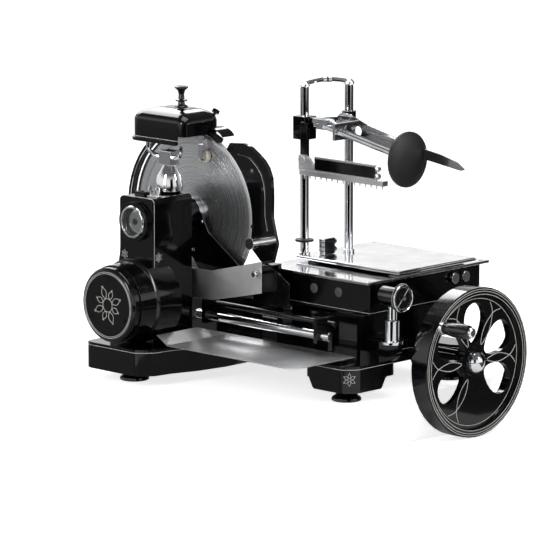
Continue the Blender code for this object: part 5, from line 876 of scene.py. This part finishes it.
dish_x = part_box("column_casting")[0].x + 8 * MM
dish = [((dish_x, 0, BLADE_CENTRE[2]), LEFT)]
stud("sight_dish", rivet_tool, dish, "stand", sheet_steel, Radius=22 * MM, Flatness=0.06, Sides=64)
stud("sight_nut", rivet_tool, dish, "stand", dark_steel, Radius=8 * MM, Flatness=0.26)
housing_ring = circle((-0.1652, 0, 0.145), 75.4 * MM, "X", 96)
draw("housing_stripe", [housing_ring], "stand", closed=True)
print("glass ends at", round(glass_high.x, 4), "and the dish stands at", round(dish_x, 4))

# %% [markdown]
# The hood has a bead along its raised front edge, with a silver line on the bead's top as a
# painted highlight, and on the blade's side a small visor of sheet metal bends forwards and
# down over the edge of the blade. A strip of faces, pulled along a curve and thickened by a
# Solidify modifier, makes the visor.

# %% Front bead and visor of the hood
BEAD_Z = 0.4485
bead = [Vector((x, hood_low.y + 4 * MM, BEAD_Z)) for x in (-0.060, 0.012)]
draw("hood_front_bead", [bead], "stand", enamel, Radius=1.9 * MM, Sides=14)
before = Vector((0, -1.2 * MM, 1.9 * MM))
# A silver paint line on the top of the bead: a painted highlight of the lip.
draw("hood_lip_painted_highlight", [[p + before for p in bead]], "stand", Radius=0.45 * MM)
BEND_MM = ((-48, 449.5), (-58, 449), (-68, 446.5), (-77, 442), (-83, 436))
verts = [(x, y * MM, z * MM) for y, z in BEND_MM for x in (-0.012, 0.018)]
faces = [(k, k + 1, k + 3, k + 2) for k in range(0, len(verts) - 2, 2)]
mesh = bpy.data.meshes.new("visor")
mesh.from_pydata(verts, [], faces)
rough = bpy.data.objects.new("visor_rough", mesh)
scene.collection.objects.link(rough)
wall = rough.modifiers.new("wall", "SOLIDIFY")
wall.thickness = 2 * MM
wall.offset = 0
visor = plain(rough, "hood_visor")
shade(visor.data, 30)
settle(visor, "stand", enamel)
print("visor reaches", -BEND_MM[-1][0], "mm in front of the blade's shaft")

# %% [markdown]
# ### Small ornaments
# Old machines carry small painted flowers where stripes meet. Three plain ones, each of a few
# leaves, sit on the base's front corner and on two faces of the column.

# %% Painted flowers
def flower(name, centre, facing, size_mm, count=6):
    """A ring of leaves flat on a surface that faces a direction."""
    side = Vector(UP).cross(Vector(facing)).normalized()
    leaf_mm = (size_mm * 0.8, size_mm * 0.24)
    paths = leaf_paths(Vector(centre), side, Vector(UP), count, size_mm * 0.2, (leaf_mm,))
    return draw(name, paths, "stand", Radius=0.32 * MM)


BASE_CORNER = Vector((-0.052, -0.435, 0.045))
corner = min(loops("base_casting", BASE_CORNER, UP)[0], key=lambda p: (p - BASE_CORNER).length)
flower("base_flower", corner, (-0.71, -0.70, 0), 11)
flower("column_front_flower", (-0.135, -0.042, 0.226), NEAR, 8)
flower("column_left_flower", (-0.150, 0.030, 0.226), LEFT, 8)
print("flowers at the base's corner", [round(c, 3) for c in corner], "and on the column")

# %% [markdown]
# ## Light, floor and background
# The photograph is a studio picture on white. A large soft lamp above, a tall one on the left
# and a narrow one in front light the machine. Dark and grey cards stand and lie where a
# studio puts them, so that enamel and chrome have something to mirror. Cards and floor are
# stage pieces and not part of the machine. The flywheel hangs below the feet, so the feet
# stand on a low pale block whose front edge ends behind the wheel, as a counter would.
# Mirrors see a white horizon and a dark ceiling, and a bright panel above and behind the
# machine puts a gleam on the tops of the round castings.

# %% Lamps
def lamp(name, place, aim, wide, tall, power):
    """A soft lamp that faces a point, with its width and height in metres."""
    light = bpy.data.lights.new(name, "AREA")
    light.shape = "RECTANGLE"
    light.size = wide
    light.size_y = tall
    light.energy = power
    item = bpy.data.objects.new(name, light)
    scene.collection.objects.link(item)
    item.location = place
    item.rotation_euler = (Vector(place) - Vector(aim)).to_track_quat("Z", "Y").to_euler()
    return item


MIDDLE = (0.05, -0.15, 0.22)
lamp("top_box", (0.1, -0.3, 2.3), MIDDLE, 1.6, 1.6, 26)
lamp("left_box", (-2.2, -0.2, 1.1), MIDDLE, 0.32, 1.3, 18)
lamp("front_strip", (0.9, -2.4, 1.2), MIDDLE, 0.24, 1.1, 13)
print("three lamps")

# %% World and stage
world = bpy.data.worlds.new("studio")
scene.world = world
world.use_nodes = True
tree = world.node_tree
tree.nodes.clear()
WHITE = (1, 1, 1, 1)
SEEN, LIGHTING, HORIZON, CEILING = 1.0, 0.45, 1.1, 0.14
rays = add(tree, "ShaderNodeLightPath").outputs
through = {0: rays["Is Camera Ray"], 1: rays["Is Transmission Ray"]}
shown = add(tree, "ShaderNodeMath", through, operation="MAXIMUM")
white = add(tree, "ShaderNodeBackground", {"Color": WHITE, "Strength": SEEN})
soft = add(tree, "ShaderNodeBackground", {"Color": WHITE, "Strength": LIGHTING})
way = add(tree, "ShaderNodeSeparateXYZ", {0: add(tree, "ShaderNodeTexCoord").outputs["Generated"]})
fall = {"Value": way.outputs["Z"], "From Min": 0.28, "From Max": 0.55}
darker = add(tree, "ShaderNodeMapRange", {**fall, "To Min": HORIZON, "To Max": CEILING})
ceiling = add(tree, "ShaderNodeBackground", {"Color": WHITE, "Strength": darker})
mirrored = add(tree, "ShaderNodeMixShader", {0: rays["Is Glossy Ray"], 1: soft, 2: ceiling})
mixed = add(tree, "ShaderNodeMixShader", {0: shown, 1: mirrored, 2: white})
add(tree, "ShaderNodeOutputWorld", {"Surface": mixed})

floor_paint, tree, shader = surface("pale_studio_floor", Roughness=0.9)
shader.inputs["Base Color"].default_value = (0.86, 0.86, 0.86, 1)
rays = add(tree, "ShaderNodeLightPath").outputs
shader.inputs["Emission Color"].default_value = WHITE
glow = add(tree, "ShaderNodeMath", {0: rays["Is Camera Ray"], 1: 0.75}, operation="MULTIPLY")
tree.links.new(glow.outputs[0], shader.inputs["Emission Strength"])

card_paint, tree, shader = surface("dark_card", Roughness=0.8)
shader.inputs["Specular IOR Level"].default_value = 0.0
weave = grain(tree, 4)
finish(tree, shader, (weave, "08080a", "101012"))


def stage_box(name, low, high, paint):
    """A box of the stage."""
    item = bpy.data.objects.new(name, box_mesh(name, low, high, paint))
    scene.collection.objects.link(item)
    return item


def hide_from(item, *rays):
    """Let some kinds of ray pass a piece of the stage."""
    for kind in rays:
        setattr(item, "visible_" + kind, False)


WHEEL_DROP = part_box("flywheel")[0].z - 1 * MM
stage_box("studio_floor", (-7, -7, WHEEL_DROP - 0.02), (7, 7, WHEEL_DROP), floor_paint)
stage_box("counter_block", (-0.40, -0.455, WHEEL_DROP + 0.001), (0.55, 0.35, 0.0), floor_paint)
cards = (
    ("front_card", (-1.9, -2.6, 0.1), (-0.6, -2.58, 1.5)),
    ("right_card", (1.5, -1.6, -0.05), (1.52, -0.2, 1.1)),
)
for name, low, high in cards:
    hide_from(stage_box(name, low, high, card_paint), "camera")


def glow_paint(name, strength):
    """A paint that only glows, which is how bright a mirror sees it."""
    made, tree, shader = surface(name, Base_Color=(0, 0, 0, 1), Specular_IOR_Level=0.0)
    shader.inputs["Emission Color"].default_value = WHITE
    shader.inputs["Emission Strength"].default_value = strength
    return made


panel_paint = glow_paint("lit_panel", 7.0)
grey_paint = glow_paint("grey_card", 0.22)
dim_paint = glow_paint("dim_card", 0.08)
panel = stage_box("back_softbox", (-0.2, 1.0, 1.75), (2.2, 2.7, 1.77), panel_paint)
hide_from(panel, "camera", "diffuse")
# The camera looks down a little, so upright faces and posts mirror the floor around the machine.
# These cards lie there and only mirrors see them. The near one draws the dark line on the posts.
LIE, TOP = WHEEL_DROP + 0.002, WHEEL_DROP + 0.004
floor_cards = (
    ("near_floor_card", (-4.6, -4.6, LIE), (-0.60, -0.62, TOP), card_paint),
    ("left_floor_card", (-4.6, 0.0, LIE), (-0.6, 4.2, TOP), grey_paint),
    ("right_floor_card", (0.33, -4.4, LIE), (4.2, -0.62, TOP), dim_paint),
    ("counter_card", (-0.40, -0.455, 0.0002), (0.55, 0.35, 0.0004), grey_paint),
)
for name, low, high, paint in floor_cards:
    hide_from(stage_box(name, low, high, paint), "camera", "shadow", "diffuse")
scene.view_settings.view_transform = "Standard"
print("stage ready, floor at", round(WHEEL_DROP, 4))
